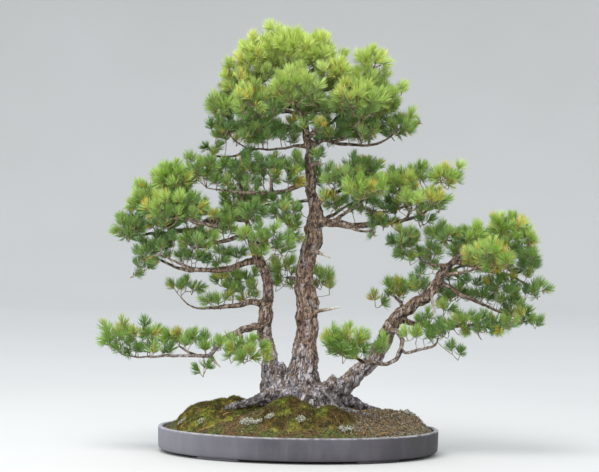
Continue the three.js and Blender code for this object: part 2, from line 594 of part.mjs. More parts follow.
function addWoodObstacles(routes) {
  for (const route of routes) {
    const curve = new THREE.CatmullRomCurve3(route.map(([x, y, z]) => new THREE.Vector3(x, y, z)));
    curve.curveType = 'centripetal';
    const spans = 4 * (route.length - 1);
    for (let i = 0; i < spans; i += 1) {
      const radius = route[Math.floor(i / 4)][3] * 1.06;
      addObstacle(curve.getPoint(i / spans), curve.getPoint((i + 1) / spans), radius, 'wood');
    }
  }
}

// The place on the bark nearest to a spray's hub, and the direction square to the bark there
function springFrom(hub, wood) {
  const position = wood.attributes.position;
  const corners = wood.index.array;
  const face = new THREE.Triangle();
  const point = new THREE.Vector3();
  const best = { distance: Infinity, foot: new THREE.Vector3(), square: new THREE.Vector3() };
  for (let i = 0; i < corners.length; i += 3) {
    face.setFromAttributeAndIndices(position, corners[i], corners[i + 1], corners[i + 2]);
    face.closestPointToPoint(hub, point);
    const distance = point.distanceTo(hub);
    if (distance < best.distance - 0.01) {
      best.distance = distance;
      best.foot.copy(point);
      face.getNormal(best.square);
    }
  }
  return best;
}

function shootTips([x, y, z], [halfX, halfY, halfZ], count, more, phase) {
  const goldenAngle = Math.PI * (3 - Math.sqrt(5));
  const tips = more.map((tip) => new THREE.Vector3(...tip));
  for (let i = 0; i < count; i += 1) {
    const out = Math.sqrt((i + 0.6) / count);
    const angle = phase + i * goldenAngle;
    const rise = halfZ * (1 - 1.3 * out ** 2);
    const across = new THREE.Vector3(halfX * Math.cos(angle), halfY * Math.sin(angle), 0);
    tips.push(new THREE.Vector3(x, y, z + rise).addScaledVector(across, out));
  }
  return tips;
}

const PHASES = 12;

// Settles a spray's stem and the places of its shoots, all clear of what is already there
function planSpray([name, middle, half, count, more = []], wood) {
  const hub = new THREE.Vector3(middle[0], middle[1], middle[2] - half[2] - 6);
  const { foot, square } = springFrom(hub, wood);
  if (hub.distanceTo(foot) < 2 * STEM_START) {
    hub.copy(foot).addScaledVector(square, 2 * STEM_START);
  }
  const start = foot.clone().addScaledVector(square, GAP);
  const turn = start.clone().addScaledVector(square, STEM_START);
  let best = [];
  for (let i = 0; i < PHASES && best.length < count + more.length; i += 1) {
    const tips = shootTips(middle, half, count, more, (2 * Math.PI * i) / PHASES);
    const clear = tips.filter((tip) => isClear(hub, tip, BUD_RADIUS, `${name} stem`));
    if (clear.length > best.length) {
      best = clear;
    }
  }
  addObstacle(turn, hub, STEM_RADIUS, `${name} stem`);
  best.forEach((tip, i) => addObstacle(hub, tip, SIDE_TWIG_RADIUS, `${name} ${i}`));
  return { name, hub, start, turn, tips: best };
}

const NEEDLES_PER_SHOOT = 12;

function makeSpray({ name, hub, start, turn, tips }, random) {
  const line = [start, turn, hub].map((p) => [p.x, p.y, p.z, STEM_RADIUS]);
  const parts = [limb(line, { sides: 4, spacing: start.distanceTo(hub) / 2, roughness: 0 })];
  tips.forEach((tip, i) => {
    const along = tip.clone().sub(hub);
    const twist = new THREE.Quaternion().setFromAxisAngle(UP, 2 * Math.PI * random());
    const aim = new THREE.Quaternion().setFromUnitVectors(UP, along.clone().normalize()).multiply(twist);
    const shoot = makeTwigAndBud(along.length());
    parts.push(drawNeedles(shoot, tip, aim, `${name} ${i}`, random, NEEDLES_PER_SHOOT));
  });
  return biggestPiece(wasm.Manifold.union(parts.map(solid)));
}

// Assembly

const TRAY_GREY = 0x64636d;
const SCREEN_BLACK = 0x1f2120;
const SOIL_BROWN = 0x5b4a38;
const BARK_BROWN = 0x6f5648;
const NEEDLE_GREENS = [0x7f9c3c, 0x6f8f38, 0x8aa545, 0x5f8034];

const wood = makeWood();
const rootSpace = wasm.Manifold.union(makeStump(2 * GAP));
const ground = solid(makeGround());
const pockets = [-DRAIN_X, DRAIN_X].map((x) =>
  block(SCREEN_SIZE + 2, SCREEN_SIZE + 2, 2 * (SCREEN_THICKNESS + 2 * GAP), x, 0, FLOOR_TOP + GAP),
);
const soil = biggestPiece(ground.subtract(rootSpace).subtract(wasm.Manifold.union(pockets)));
const mossBed = ground.translate([0, 0, GAP]);

const bonsai = new THREE.Group();
bonsai.add(named('tray', makeTray(), TRAY_GREY, 0.6));
bonsai.add(named('drain_screen_left', makeScreen(-DRAIN_X), SCREEN_BLACK, 0.7));
bonsai.add(named('drain_screen_right', makeScreen(DRAIN_X), SCREEN_BLACK, 0.7));
bonsai.add(named('soil', soil, SOIL_BROWN, 0.95));
for (const [name, x, y, halfLength, halfWidth, thickness, color] of MOSS_MATS) {
  const blank = solid(makeMossMat(x, y, halfLength, halfWidth, thickness));
  bonsai.add(named(name, biggestPiece(blank.subtract(mossBed).subtract(rootSpace)), color, 0.95));
}
const woodMesh = named('tree_wood', wood, BARK_BROWN, 0.85);
bonsai.add(woodMesh);

const branchRoutes = [...TRUNKS, ...LEFT_BRANCHES, ...CROWN_BRANCHES, ...RIGHT_BRANCHES];
addWoodObstacles([...branchRoutes, ...DEAD_STUBS]);
const plans = SPRAYS.map((spray) => planSpray(spray, woodMesh.geometry));
const needleRandom = seeded(23);
plans.forEach((plan, i) => {
  const green = NEEDLE_GREENS[i % NEEDLE_GREENS.length];
  bonsai.add(named(`spray_${plan.name}`, makeSpray(plan, needleRandom), green, 0.6));
});

const box = new THREE.Box3().setFromObject(bonsai);
const middle = box.getCenter(new THREE.Vector3());
bonsai.position.set(-middle.x, -middle.y, -box.min.z);

export default bonsai;
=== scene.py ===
# %% [markdown]
# # Dressing a Japanese white pine bonsai
# The packed model is the fixed frame of this lesson: it says where every piece is, and this script
# grows finer pieces in the same places. An old pine in a tray has few things that a ready-made shape
# could stand for. Nearly all of it is grown here by rules, from given lists of points.

import math

import bpy
import numpy as np
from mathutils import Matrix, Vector, kdtree


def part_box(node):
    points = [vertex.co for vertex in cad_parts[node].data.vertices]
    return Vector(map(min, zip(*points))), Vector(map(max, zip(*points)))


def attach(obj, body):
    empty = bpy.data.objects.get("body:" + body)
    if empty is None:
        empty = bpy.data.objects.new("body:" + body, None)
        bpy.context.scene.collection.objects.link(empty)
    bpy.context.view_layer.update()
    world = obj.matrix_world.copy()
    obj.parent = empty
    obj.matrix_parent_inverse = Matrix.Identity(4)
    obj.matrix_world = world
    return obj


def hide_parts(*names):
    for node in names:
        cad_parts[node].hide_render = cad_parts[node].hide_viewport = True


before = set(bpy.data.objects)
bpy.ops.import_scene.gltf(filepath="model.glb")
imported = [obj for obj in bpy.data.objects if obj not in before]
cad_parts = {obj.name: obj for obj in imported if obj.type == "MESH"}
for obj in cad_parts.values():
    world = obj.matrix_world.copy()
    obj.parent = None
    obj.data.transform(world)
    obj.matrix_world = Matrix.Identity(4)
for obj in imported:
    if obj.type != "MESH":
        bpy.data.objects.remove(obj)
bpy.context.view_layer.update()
print("nodes in the frame:", len(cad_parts))

# %% [markdown]
# The shapes are easiest to think about in millimetres, measured from the middle of the tray on the
# surface that it stands on. One helper turns such points into the frame's metres. The front of the
# tree faces -Y, +X is to the right as seen from there, and +Z is up.

# %% Places in millimetres
MM = 0.001
tray_low, tray_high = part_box("tray")
TRAY_MIDDLE = np.array([(tray_low.x + tray_high.x) / 2, (tray_low.y + tray_high.y) / 2, tray_low.z])


def in_frame(points):
    """Points in millimetres from the middle of the tray, as metres in the model's frame."""
    return np.asarray(points, float) * MM + TRAY_MIDDLE


def in_millimetres(points):
    """The way back, for points that Blender has made."""
    return (np.asarray(points, float) - TRAY_MIDDLE) / MM


print("middle of the tray:", TRAY_MIDDLE.round(4))

# %% [markdown]
# The portrait is taken from 3.5 metres, level with the middle of the tree, through a long lens, and
# the camera leans by one degree. A long lens keeps the front and the back of the crown at nearly the
# same scale, as a photographer of small trees wants.

# %% The camera
scene = bpy.context.scene
VIEW_DISTANCE = 3500
VIEW_HEIGHT = 432
VIEW_WIDTH = 1198
VIEW_SIDE_STEP = -4.2
VIEW_LEAN = math.radians(-1)
SENSOR_WIDTH = 36
camera_data = bpy.data.cameras.new("portrait_camera")
camera_data.sensor_width = SENSOR_WIDTH
camera_data.lens = SENSOR_WIDTH * VIEW_DISTANCE / VIEW_WIDTH
camera = bpy.data.objects.new("portrait_camera", camera_data)
camera.location = in_frame([VIEW_SIDE_STEP, -VIEW_DISTANCE, VIEW_HEIGHT])
camera.rotation_euler = (math.radians(90), VIEW_LEAN, 0)
scene.collection.objects.link(camera)
scene.camera = camera
print("lens:", round(camera_data.lens, 1), "mm")

# %% [markdown]
# Shader sums read best as sums. A `Field` is one socket of a finish; adding or multiplying fields
# adds the Math nodes behind the scenes, also for a sum that starts with a plain number, such as
# `1 - mask`. Wiring each node by hand would work too, but hides what is being worked out.


# %% Sums of fields
class Field:
    """One output of a finish's nodes, which can stand in a sum."""

    def __init__(self, finish, socket):
        self.finish = finish
        self.socket = socket

    def maths(self, operation, first, second):
        return self.finish.add("ShaderNodeMath", {"operation": operation}, {0: first, 1: second})

    def __add__(self, other):
        return self.maths("ADD", self, other)

    def __sub__(self, other):
        return self.maths("SUBTRACT", self, other)

    def __rsub__(self, other):
        return self.maths("SUBTRACT", other, self)

    def __mul__(self, other):
        return self.maths("MULTIPLY", self, other)

    __radd__ = __add__
    __rmul__ = __mul__

    def between(self, low, high):
        """0 where the field is low, 1 where it is high."""
        sockets = {"Value": self, "From Min": low, "From Max": high}
        return self.finish.add("ShaderNodeMapRange", {"clamp": True}, sockets)


print("a field can:", [name for name in vars(Field) if "__" not in name], "and + - *")

# %% [markdown]
# A `Finish` is one material: a Principled shader and the nodes that feed it. Its `add` makes any
# node, from the node's type, its settings, and the values or links of its sockets. The short methods
# under it are the few nodes that clay, bark, moss and needles all need.


# %% A finish and its nodes
class Finish:
    """A material made of a Principled shader and the nodes that feed it."""

    def __init__(self, name, **constants):
        self.material = bpy.data.materials.new(name)
        self.material.use_nodes = True
        self.tree = self.material.node_tree
        self.shader = self.tree.nodes["Principled BSDF"]
        for socket, value in constants.items():
            self.shader.inputs[socket.replace("_", " ").title()].default_value = value

    def add(self, kind, settings=None, sockets=None, output=0):
        node = self.tree.nodes.new(kind)
        for name, setting in (settings or {}).items():
            setattr(node, name, setting)
        for name, value in (sockets or {}).items():
            self.feed(node.inputs[name], value)
        return Field(self, node.outputs[output])

    def feed(self, socket, value):
        if isinstance(value, Field):
            self.tree.links.new(value.socket, socket)
        else:
            socket.default_value = value

    def wear(self, name, value):
        self.feed(self.shader.inputs[name], value)

    def place(self):
        return self.add("ShaderNodeTexCoord", output=3)

    def stretched(self, x, y, z):
        sockets = {"Vector": self.place(), "Scale": (x, y, z)}
        return self.add("ShaderNodeMapping", {}, sockets)

    def speckle(self, size, detail=2.0, vector=None):
        """Soft noise whose patches are about size millimetres wide."""
        place = self.place() if vector is None else vector
        sockets = {"Vector": place, "Scale": 1 / (size * MM), "Detail": detail}
        return self.add("ShaderNodeTexNoise", {}, sockets)

    def mark(self, name):
        """A number that the mesh carries at each of its points."""
        return self.add("ShaderNodeAttribute", {"attribute_name": name}, output=2)

    def mix(self, factor, first, second, blend="MIX"):
        settings = {"data_type": "RGBA", "blend_type": blend}
        return self.add("ShaderNodeMix", settings, {0: factor, 6: first, 7: second}, output=2)

    def bump(self, height, distance, strength=1.0):
        sockets = {"Height": height, "Distance": distance * MM, "Strength": strength}
        self.wear("Normal", self.add("ShaderNodeBump", {}, sockets))


print("a finish can:", [name for name in vars(Finish) if not name.startswith("_")])

# %% [markdown]
# Colours are given as the six letters that a colour picker shows. Blender reckons in light,
# which grows faster than the shown value, so the letters are turned into light first.


# %% Colours
def paint(code):
    """A colour as Blender wants it, from the six letters that a colour picker shows."""
    shown = [int(code[i : i + 2], 16) / 255 for i in (0, 2, 4)]
    return (*(((c + 0.055) / 1.055) ** 2.4 if c > 0.04045 else c / 12.92 for c in shown), 1.0)


print("moss green as light:", [round(c, 3) for c in paint("7d8a2e")])

# %% [markdown]
# Floor, tray, soil and moss are all round or oval, so they start alike: a profile is turned about the
# upright axis, as clay on a wheel, and its rings are joined by four-sided faces. Written as arrays,
# such a shape takes a few lines and no modifier, and its points can be moved by a formula at once.


# %% Turned shapes
def turned(profile, segments):
    """A profile of (radius, height) turned about the upright axis: its points and four-sided faces."""
    profile = np.array(profile, float)
    angles = np.linspace(0, 2 * math.pi, segments, endpoint=False)
    x = profile[:, :1] * np.cos(angles)
    y = profile[:, :1] * np.sin(angles)
    z = np.repeat(profile[:, 1:], segments, axis=1)
    points = np.stack([x, y, z], axis=2).reshape(-1, 3)
    return points, ring_faces(len(profile), segments)


def ring_faces(rings, sides):
    """The four-sided faces between rings of points that follow each other."""
    ring, side = np.meshgrid(np.arange(rings - 1), np.arange(sides), indexing="ij")
    after = (side + 1) % sides
    here = [ring * sides + side, ring * sides + after]
    above = [(ring + 1) * sides + after, (ring + 1) * sides + side]
    return np.stack(here + above, axis=2).reshape(-1, 4)


def in_triangles(faces):
    """Each four-sided face as two triangles."""
    return np.concatenate([faces[:, [0, 1, 2]], faces[:, [0, 2, 3]]])


def make_mesh(name, points, triangles):
    """A smooth-shaded mesh from points in millimetres."""
    mesh = bpy.data.meshes.new(name)
    mesh.vertices.add(len(points))
    mesh.vertices.foreach_set("co", in_frame(points).astype(np.float32).ravel())
    mesh.loops.add(triangles.size)
    mesh.loops.foreach_set("vertex_index", triangles.astype(np.int32).ravel())
    mesh.polygons.add(len(triangles))
    mesh.polygons.foreach_set("loop_start", np.arange(0, triangles.size, 3, dtype=np.int32))
    mesh.update(calc_edges=True)
    mesh.shade_smooth()
    return mesh


print("faces between 3 rings of 4 points:", len(ring_faces(3, 4)))

# %% [markdown]
# The floor is a very wide shallow dish whose rim curls up far behind the tree on every side. A flat
# plane would end in a horizon line. The dish gives an even pale ground, from wherever the tree is
# looked at.

# %% Floor
FLOOR_RADIUS = 7000
FLOOR_CURL = 2500
FLOOR_SEGMENTS = 96
curl_angles = np.radians(np.arange(0, 91, 6))
floor_profile = [(0.5, 0)] + [
    (FLOOR_RADIUS + FLOOR_CURL * math.sin(a), FLOOR_CURL * (1 - math.cos(a))) for a in curl_angles
]
floor_points, floor_faces = turned(floor_profile, FLOOR_SEGMENTS)
floor = bpy.data.objects.new("floor", make_mesh("floor", floor_points, in_triangles(floor_faces)))
scene.collection.objects.link(floor)
floor_finish = Finish("pale_floor", roughness=0.9)
floor_tint = floor_finish.speckle(900)
floor_finish.wear("Base Color", floor_finish.mix(floor_tint, paint("c2c1bd"), paint("c9c8c5")))
floor.data.materials.append(floor_finish.material)
print("floor:", len(floor_faces), "faces")

# %% [markdown]
# Most of the light is a pale sky that comes from all around. A broad panel above and a little in
# front, and a weaker one from the front left, give it a direction: the tops of the needle pads catch
# the light and their undersides stay dark, which is what makes the pads read as layers.

# %% Light
SKY_STRENGTH = 1.42
scene.view_settings.view_transform = "Standard"
world = bpy.data.worlds.new("pale_sky")
world.use_nodes = True
world.node_tree.nodes["Background"].inputs["Color"].default_value = paint("e8eef5")
world.node_tree.nodes["Background"].inputs["Strength"].default_value = SKY_STRENGTH
scene.world = world


def add_panel(name, place, aim, size, power):
    """A square light panel that faces a point; the camera doesn't see it."""
    data = bpy.data.lights.new(name, "AREA")
    data.size = size * MM
    data.energy = power
    panel = bpy.data.objects.new(name, data)
    panel.location = in_frame(place)
    direction = Vector(in_frame(aim)) - panel.location
    panel.rotation_euler = direction.to_track_quat("-Z", "Y").to_euler()
    panel.visible_camera = False
    scene.collection.objects.link(panel)


TREE_MIDDLE = [0, 0, 420]
add_panel("overhead_panel", [-500, -900, 2900], TREE_MIDDLE, 1500, 56)
add_panel("front_panel", [-1700, -2600, 1400], TREE_MIDDLE, 1400, 24)

# %% [markdown]
# Every piece goes through one helper: it makes the object, gives it its finishes and the numbers
# that those finishes read, makes it ride on the model's body, and hides the model's node that it
# stands for. A `Heap` gathers the many small parts of one piece first.


# %% Making pieces
class Heap:
    """Small meshes gathered into one, each with its finish number and marks for its points."""

    def __init__(self, *mark_names):
        self.mark_names = mark_names
        self.points = []
        self.triangles = []
        self.marks = []
        self.finish_numbers = []
        self.count = 0

    def add(self, points, triangles, marks=(), finish_number=0):
        columns = [np.broadcast_to(np.asarray(m, float), len(points)) for m in marks]
        self.points.append(points)
        self.triangles.append(triangles + self.count)
        self.marks.append(np.stack(columns, axis=1) if columns else np.zeros((len(points), 0)))
        self.finish_numbers.append(np.full(len(triangles), finish_number))
        self.count += len(points)


def add_piece(name, heap, finishes, slot, *nodes):
    """Puts a heap into the scene as one piece that rides with the model."""
    triangles = np.concatenate(heap.triangles)
    mesh = make_mesh(name, np.concatenate(heap.points), triangles)
    marks = np.concatenate(heap.marks)
    for column, mark_name in enumerate(heap.mark_names):
        attribute = mesh.attributes.new(mark_name, "FLOAT", "POINT")
        attribute.data.foreach_set("value", marks[:, column].astype(np.float32))
    for finish in finishes:
        mesh.materials.append(finish.material)
    numbers = np.concatenate(heap.finish_numbers).astype(np.int32)
    mesh.polygons.foreach_set("material_index", numbers)
    piece = bpy.data.objects.new(name, mesh)
    scene.collection.objects.link(piece)
    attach(piece, "root")
    if nodes:
        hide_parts(*nodes)
    return len(triangles)


def unit(vectors):
    return vectors / np.maximum(np.linalg.norm(vectors, axis=-1, keepdims=True), 1e-9)


def lumps(points, size, seed):
    """Smooth random hills about size wide, between roughly -1 and 1, at each of the points."""
    chance = np.random.default_rng(seed)
    points = np.atleast_2d(points)
    waves = chance.normal(size=(18, points.shape[1]))
    waves *= 2 * math.pi / (size * np.linalg.norm(waves, axis=1, keepdims=True))
    waves *= chance.uniform(0.6, 1.5, (18, 1))
    phases = chance.uniform(0, 2 * math.pi, 18)
    return np.sin(points @ waves.T + phases).sum(axis=1) / 5


print("lumps near the middle:", lumps([[0, 0, 0], [5, 0, 0]], 20, 1).round(2))

# %% [markdown]
# ## The tray
# An oval tray of unglazed grey stoneware, thrown and then squeezed to an oval. The wall is nearly
# upright, rounded where it meets the floor, and worn pale along its rim. A lathe profile makes it; the
# oval comes from drawing each ring in on one axis, by the same amount for every ring, so that the wall
# keeps one thickness.

# %% Tray shape
TRAY_HALF_LENGTH = 280
TRAY_HALF_WIDTH = 200
TRAY_HEIGHT = 50
TRAY_WALL = 9
FOOT_HEIGHT = 5
TRAY_FLOOR_TOP = 11
TRAY_SEGMENTS = 192


def rounded(corner, radius, start, turn, steps=5):
    """Points round a corner of a profile, from the angle start through turn, in degrees."""
    angles = np.radians(np.linspace(start, start + turn, steps))
    return [(corner[0] + radius * math.cos(a), corner[1] + radius * math.sin(a)) for a in angles]


inside = TRAY_HALF_LENGTH - TRAY_WALL
tray_profile = [
    (0.1, FOOT_HEIGHT),
    (120, FOOT_HEIGHT),
    *rounded((TRAY_HALF_LENGTH - 8, FOOT_HEIGHT + 7), 7, -90, 80),
    (TRAY_HALF_LENGTH - 0.6, 22),
    (TRAY_HALF_LENGTH - 0.2, 36),
    *rounded((TRAY_HALF_LENGTH - 2, TRAY_HEIGHT - 2), 2, 0, 90),
    *rounded((inside + 2, TRAY_HEIGHT - 2), 2, 90, 90),
    (inside, 30),
    *rounded((inside - 5, TRAY_FLOOR_TOP + 5), 5, 0, -90),
    (120, TRAY_FLOOR_TOP),
    (0.1, TRAY_FLOOR_TOP),
]
tray_points, tray_faces = turned(tray_profile, TRAY_SEGMENTS)
tray_radii = np.hypot(tray_points[:, 0], tray_points[:, 1])
narrowing = TRAY_HALF_LENGTH - TRAY_HALF_WIDTH
drawn_in = 1 - narrowing / np.maximum(tray_radii, 1)
tray_points[:, 1] *= np.where(tray_radii > narrowing + 1, drawn_in, 0.01)
print("tray:", len(tray_faces), "faces")

# %% [markdown]
# A hole through clay is cut with a tool of the hole's shape. In Blender the tool is a closed bar, and
# a Boolean modifier takes it away from the body. The result is read back as plain points and
# triangles, because every piece of this lesson is gathered from those in the end.


# %% Cutting holes
def closed_bar(outline, bottom, top):
    """An upright bar with the given outline, closed at both ends."""
    outline = np.array(outline, float)
    count = len(outline)
    low = np.column_stack([outline, np.full(count, bottom)])
    high = np.column_stack([outline, np.full(count, top)])
    middles = [[*outline.mean(axis=0), bottom], [*outline.mean(axis=0), top]]
    side = in_triangles(ring_faces(2, count))
    here = np.arange(count)
    after = (here + 1) % count
    floor_fan = np.column_stack([after, here, np.full(count, 2 * count)])
    top_fan = np.column_stack([count + here, count + after, np.full(count, 2 * count + 1)])
    return np.concatenate([low, high, middles]), np.concatenate([side, floor_fan, top_fan])


def cut_holes(points, triangles, cutters):
    """The shape with the cutters taken away, by Blender's exact Boolean."""
    body = bpy.data.objects.new("blank", make_mesh("blank", points, triangles))
    scene.collection.objects.link(body)
    tools = []
    for number, (cutter_points, cutter_triangles) in enumerate(cutters):
        mesh = make_mesh(f"cutter_{number}", cutter_points, cutter_triangles)
        tools.append(bpy.data.objects.new(f"cutter_{number}", mesh))
        scene.collection.objects.link(tools[-1])
        modifier = body.modifiers.new(f"cut_{number}", "BOOLEAN")
        modifier.object = tools[-1]
        modifier.operation = "DIFFERENCE"
    points, triangles = read_shape(body)
    for thing in [body, *tools]:
        bpy.data.objects.remove(thing)
    return points, triangles


def read_shape(thing):
    """The points in millimetres and the triangles of an object with its modifiers."""
    evaluated = thing.evaluated_get(bpy.context.evaluated_depsgraph_get())
    mesh = evaluated.to_mesh()
    mesh.calc_loop_triangles()
    points = np.zeros(len(mesh.vertices) * 3)
    mesh.vertices.foreach_get("co", points)
    triangles = np.zeros(len(mesh.loop_triangles) * 3, dtype=np.int32)
    mesh.loop_triangles.foreach_get("vertices", triangles)
    evaluated.to_mesh_clear()
    return in_millimetres(points.reshape(-1, 3)), triangles.reshape(-1, 3)


square = [(0, 0), (1, 0), (1, 1), (0, 1)]
print("triangles of a square bar:", len(closed_bar(square, 0, 1)[1]))

# %% [markdown]
# Two drain holes go through the floor, as in every tray that a tree lives in. Four low feet, each a
# slice of the oval, lift the floor so that the water can run off.

# %% Drain holes and feet
DRAIN_RADIUS = 13
DRAIN_X = 130
DRAIN_TOOL_TOP = 20
FOOT_FROM = 44
FOOT_TO = 65
FOOT_INSETS = (9, 34)


def round_outline(x, y, radius, count=32):
    angles = np.linspace(0, 2 * math.pi, count, endpoint=False)
    return [(x + radius * math.cos(a), y + radius * math.sin(a)) for a in angles]


def foot_outline(flip_x, flip_y):
    """A slice of the oval, between two insets from its edge."""
    outer = np.radians(np.linspace(FOOT_FROM, FOOT_TO, 12))
    outline = []
    for inset, angles in zip(FOOT_INSETS, (outer, outer[::-1])):
        for angle in angles:
            x = (TRAY_HALF_LENGTH - inset) * math.cos(angle)
            y = (TRAY_HALF_WIDTH - inset) * math.sin(angle)
            outline.append((flip_x * x, flip_y * y))
    return outline if flip_x * flip_y > 0 else outline[::-1]


last = len(tray_points)
middle_points = [[0, 0, FOOT_HEIGHT], [0, 0, TRAY_FLOOR_TOP]]
here = np.arange(TRAY_SEGMENTS)
after = (here + 1) % TRAY_SEGMENTS
under_fan = np.column_stack([after, here, np.full(TRAY_SEGMENTS, last)])
inner_ring = last - TRAY_SEGMENTS
floor_fan = np.column_stack([inner_ring + here, inner_ring + after, np.full(TRAY_SEGMENTS, last + 1)])
tray_triangles = np.concatenate([in_triangles(tray_faces), under_fan, floor_fan])
drains = [
    closed_bar(round_outline(x, 0, DRAIN_RADIUS), 0, DRAIN_TOOL_TOP) for x in (-DRAIN_X, DRAIN_X)
]
tray_shape = cut_holes(np.concatenate([tray_points, middle_points]), tray_triangles, drains)
tray = Heap()
tray.add(*tray_shape)
for flip_x in (-1, 1):
    for flip_y in (-1, 1):
        tray.add(*closed_bar(foot_outline(flip_x, flip_y), 0, FOOT_HEIGHT + 0.5))
print("tray with holes:", len(tray_shape[1]), "triangles")

# %% [markdown]
# Unglazed stoneware is matt, slate grey with a breath of violet, and never even. Water leaves faint
# upright streaks of mineral on the wall, and the rim is worn to a paler line. The left end is painted
# lighter and the right end darker, as painted light that falls from the left. Noise at three sizes
# gives the clouds, streaks and grain, the height above the ground picks out the rim, and the place
# along the tray picks out the ends, so no picture has to be wrapped round the wall.

# %% Tray finish
stoneware = Finish("grey_stoneware", roughness=0.62)
cloudy = stoneware.speckle(70, 4).between(0.35, 0.65)
body_tone = stoneware.mix(cloudy, paint("4b474e"), paint("5c585f"))
streaks = stoneware.speckle(1, 3, stoneware.stretched(0.05, 0.05, 0.012)).between(0.45, 0.8)
body_tone = stoneware.mix(streaks * 0.2, body_tone, paint("8f8c94"))
place_parts = stoneware.add("ShaderNodeSeparateXYZ", {}, {0: stoneware.place()})
half_length = TRAY_HALF_LENGTH * MM
end_x = place_parts.between(TRAY_MIDDLE[0] - half_length, TRAY_MIDDLE[0] + half_length)
# Painted light: the left end is painted lighter and the right end darker, as if lit from the left.
body_tone = stoneware.mix((1 - end_x).between(0.6, 1.0) * 0.6, body_tone, paint("93929a"))
body_tone = stoneware.mix(end_x.between(0.62, 0.98) * 0.8, body_tone, paint("2c2827"))
height = Field(stoneware, place_parts.socket.node.outputs[2])
rim = height.between((TRAY_HEIGHT - 3.5) * MM, (TRAY_HEIGHT - 1) * MM)
worn = rim * stoneware.speckle(9, 3).between(0.3, 0.6)
body_tone = stoneware.mix(worn * 0.75, body_tone, paint("b3b0b0"))
stoneware.wear("Base Color", body_tone)
stoneware.wear("Roughness", stoneware.speckle(12, 3) * 0.25 + 0.48)
stoneware.bump(stoneware.speckle(1.6, 4), 0.25, 0.5)
print("tray:", add_piece("stoneware_tray", tray, [stoneware], "tray", "tray"), "triangles")

# %% [markdown]
# A square of plastic mesh lies over each drain hole and keeps the soil in. The CAD shape is right as it
# is, so only its finish is made: dull black plastic with a little dust of soil on it.

# %% Drain screens
screen_plastic = Finish("black_mesh_plastic", roughness=0.55)
dust = screen_plastic.speckle(6, 4).between(0.5, 0.7)
screen_plastic.wear("Base Color", screen_plastic.mix(dust, paint("1c1d1c"), paint("3a342c")))
screen_plastic.wear("Roughness", dust * 0.3 + 0.5)
for side in ("left", "right"):
    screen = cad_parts[f"drain_screen_{side}"]
    screen.data.materials.clear()
    screen.data.materials.append(screen_plastic.material)

# %% [markdown]
# ## The wood
# Three trunks rise from one swollen base, with low shoulders between their feet, and roots run out
# over the ground. Sculpting them by hand is one way. Here each limb is a line of given points with a
# radius at each, from its foot to its tip, because such a list is easy to read, to mend and to fit to
# the packed model.

# %% Trunks, base and roots
TRUNKS = [
    [[8, 0, 60, 46], [8, 0, 110, 42], [8, 0, 145, 33], [9, 0, 180, 27], [13, 3, 240, 21.5],
     [12, 6, 304, 22], [6, 8, 350, 18], [14, 6, 392, 16.5], [25, 2, 450, 18], [27, 0, 480, 14.5],
     [20, -2, 515, 11.5], [15, -3, 560, 10.5], [13, -3, 600, 9.5], [5, -2, 640, 8.5],
     [-4, 0, 690, 7.2], [-15, 0, 740, 6], [-28, -3, 780, 4.8], [-28, -5, 812, 3]],
    [[-30, -4, 70, 34], [-52, -6, 120, 26], [-58, -8, 160, 17], [-60, -8, 200, 15],
     [-70, -9, 240, 14.5], [-71, -10, 272, 15], [-66, -9, 305, 12], [-65, -8, 335, 11],
     [-72, -8, 362, 10.5], [-84, -7, 384, 10.5], [-95, -6, 405, 8.5], [-102, -3, 435, 7],
     [-113, 2, 470, 6], [-121, 5, 510, 5], [-126, 5, 535, 3.5]],
    [[45, 2, 85, 30], [75, 2, 122, 21], [100, 3, 145, 18], [126, 4, 168, 16], [152, 5, 194, 16],
     [169, 6, 221, 15.5], [180, 6, 247, 15], [191, 5, 263, 15], [205, 4, 283, 13],
     [228, 3, 299, 12.5], [250, 2, 318, 12], [268, 0, 341, 11.5], [280, -1, 361, 10],
     [296, -2, 379, 8], [312, -2, 397, 6], [330, -2, 420, 4.5], [345, -1, 434, 3]],
]
BASE = [[14, 0, 40, 60], [14, 0, 80, 68], [14, 0, 105, 62], [12, 0, 126, 44], [10, 0, 146, 22]]
SHOULDERS = [
    [[-36, -6, 100, 34], [-40, -6, 128, 25], [-38, -6, 152, 17], [-34, -5, 176, 8]],
    [[-20, -22, 96, 28], [-18, -20, 122, 22], [-14, -18, 142, 14], [-10, -14, 158, 7]],
    [[52, 0, 96, 34], [60, -4, 118, 24], [64, -6, 138, 15], [68, -6, 153, 8]],
    [[40, -24, 92, 26], [42, -24, 112, 20], [40, -20, 128, 12]],
]
ROOTS = [
    [[-35, -28, 114, 18], [-66, -34, 112, 12], [-100, -40, 102, 9], [-128, -44, 94, 8],
     [-150, -46, 86, 6]],
    [[50, -18, 105, 20], [82, -30, 94, 11], [108, -36, 84, 8], [135, -40, 78, 6], [158, -42, 76, 4]],
    [[80, 8, 112, 18], [112, 18, 98, 11], [140, 26, 90, 8], [165, 32, 84, 5]],
    [[10, -32, 100, 26], [22, -58, 92, 12], [38, -78, 80, 6]],
    [[0, 30, 102, 24], [-8, 58, 92, 13], [-24, 84, 84, 8], [-40, 104, 78, 5]],
    [[-50, 20, 105, 18], [-82, 36, 94, 10], [-112, 48, 90, 6]],
]
print("trunks:", len(TRUNKS), "roots:", len(ROOTS))

# %% [markdown]
# The branches on the left leave the left trunk and the middle of the main one. They run out nearly
# level and turn up at the tip, as wired branches of an old tree do, and the lowest sweeps down first.

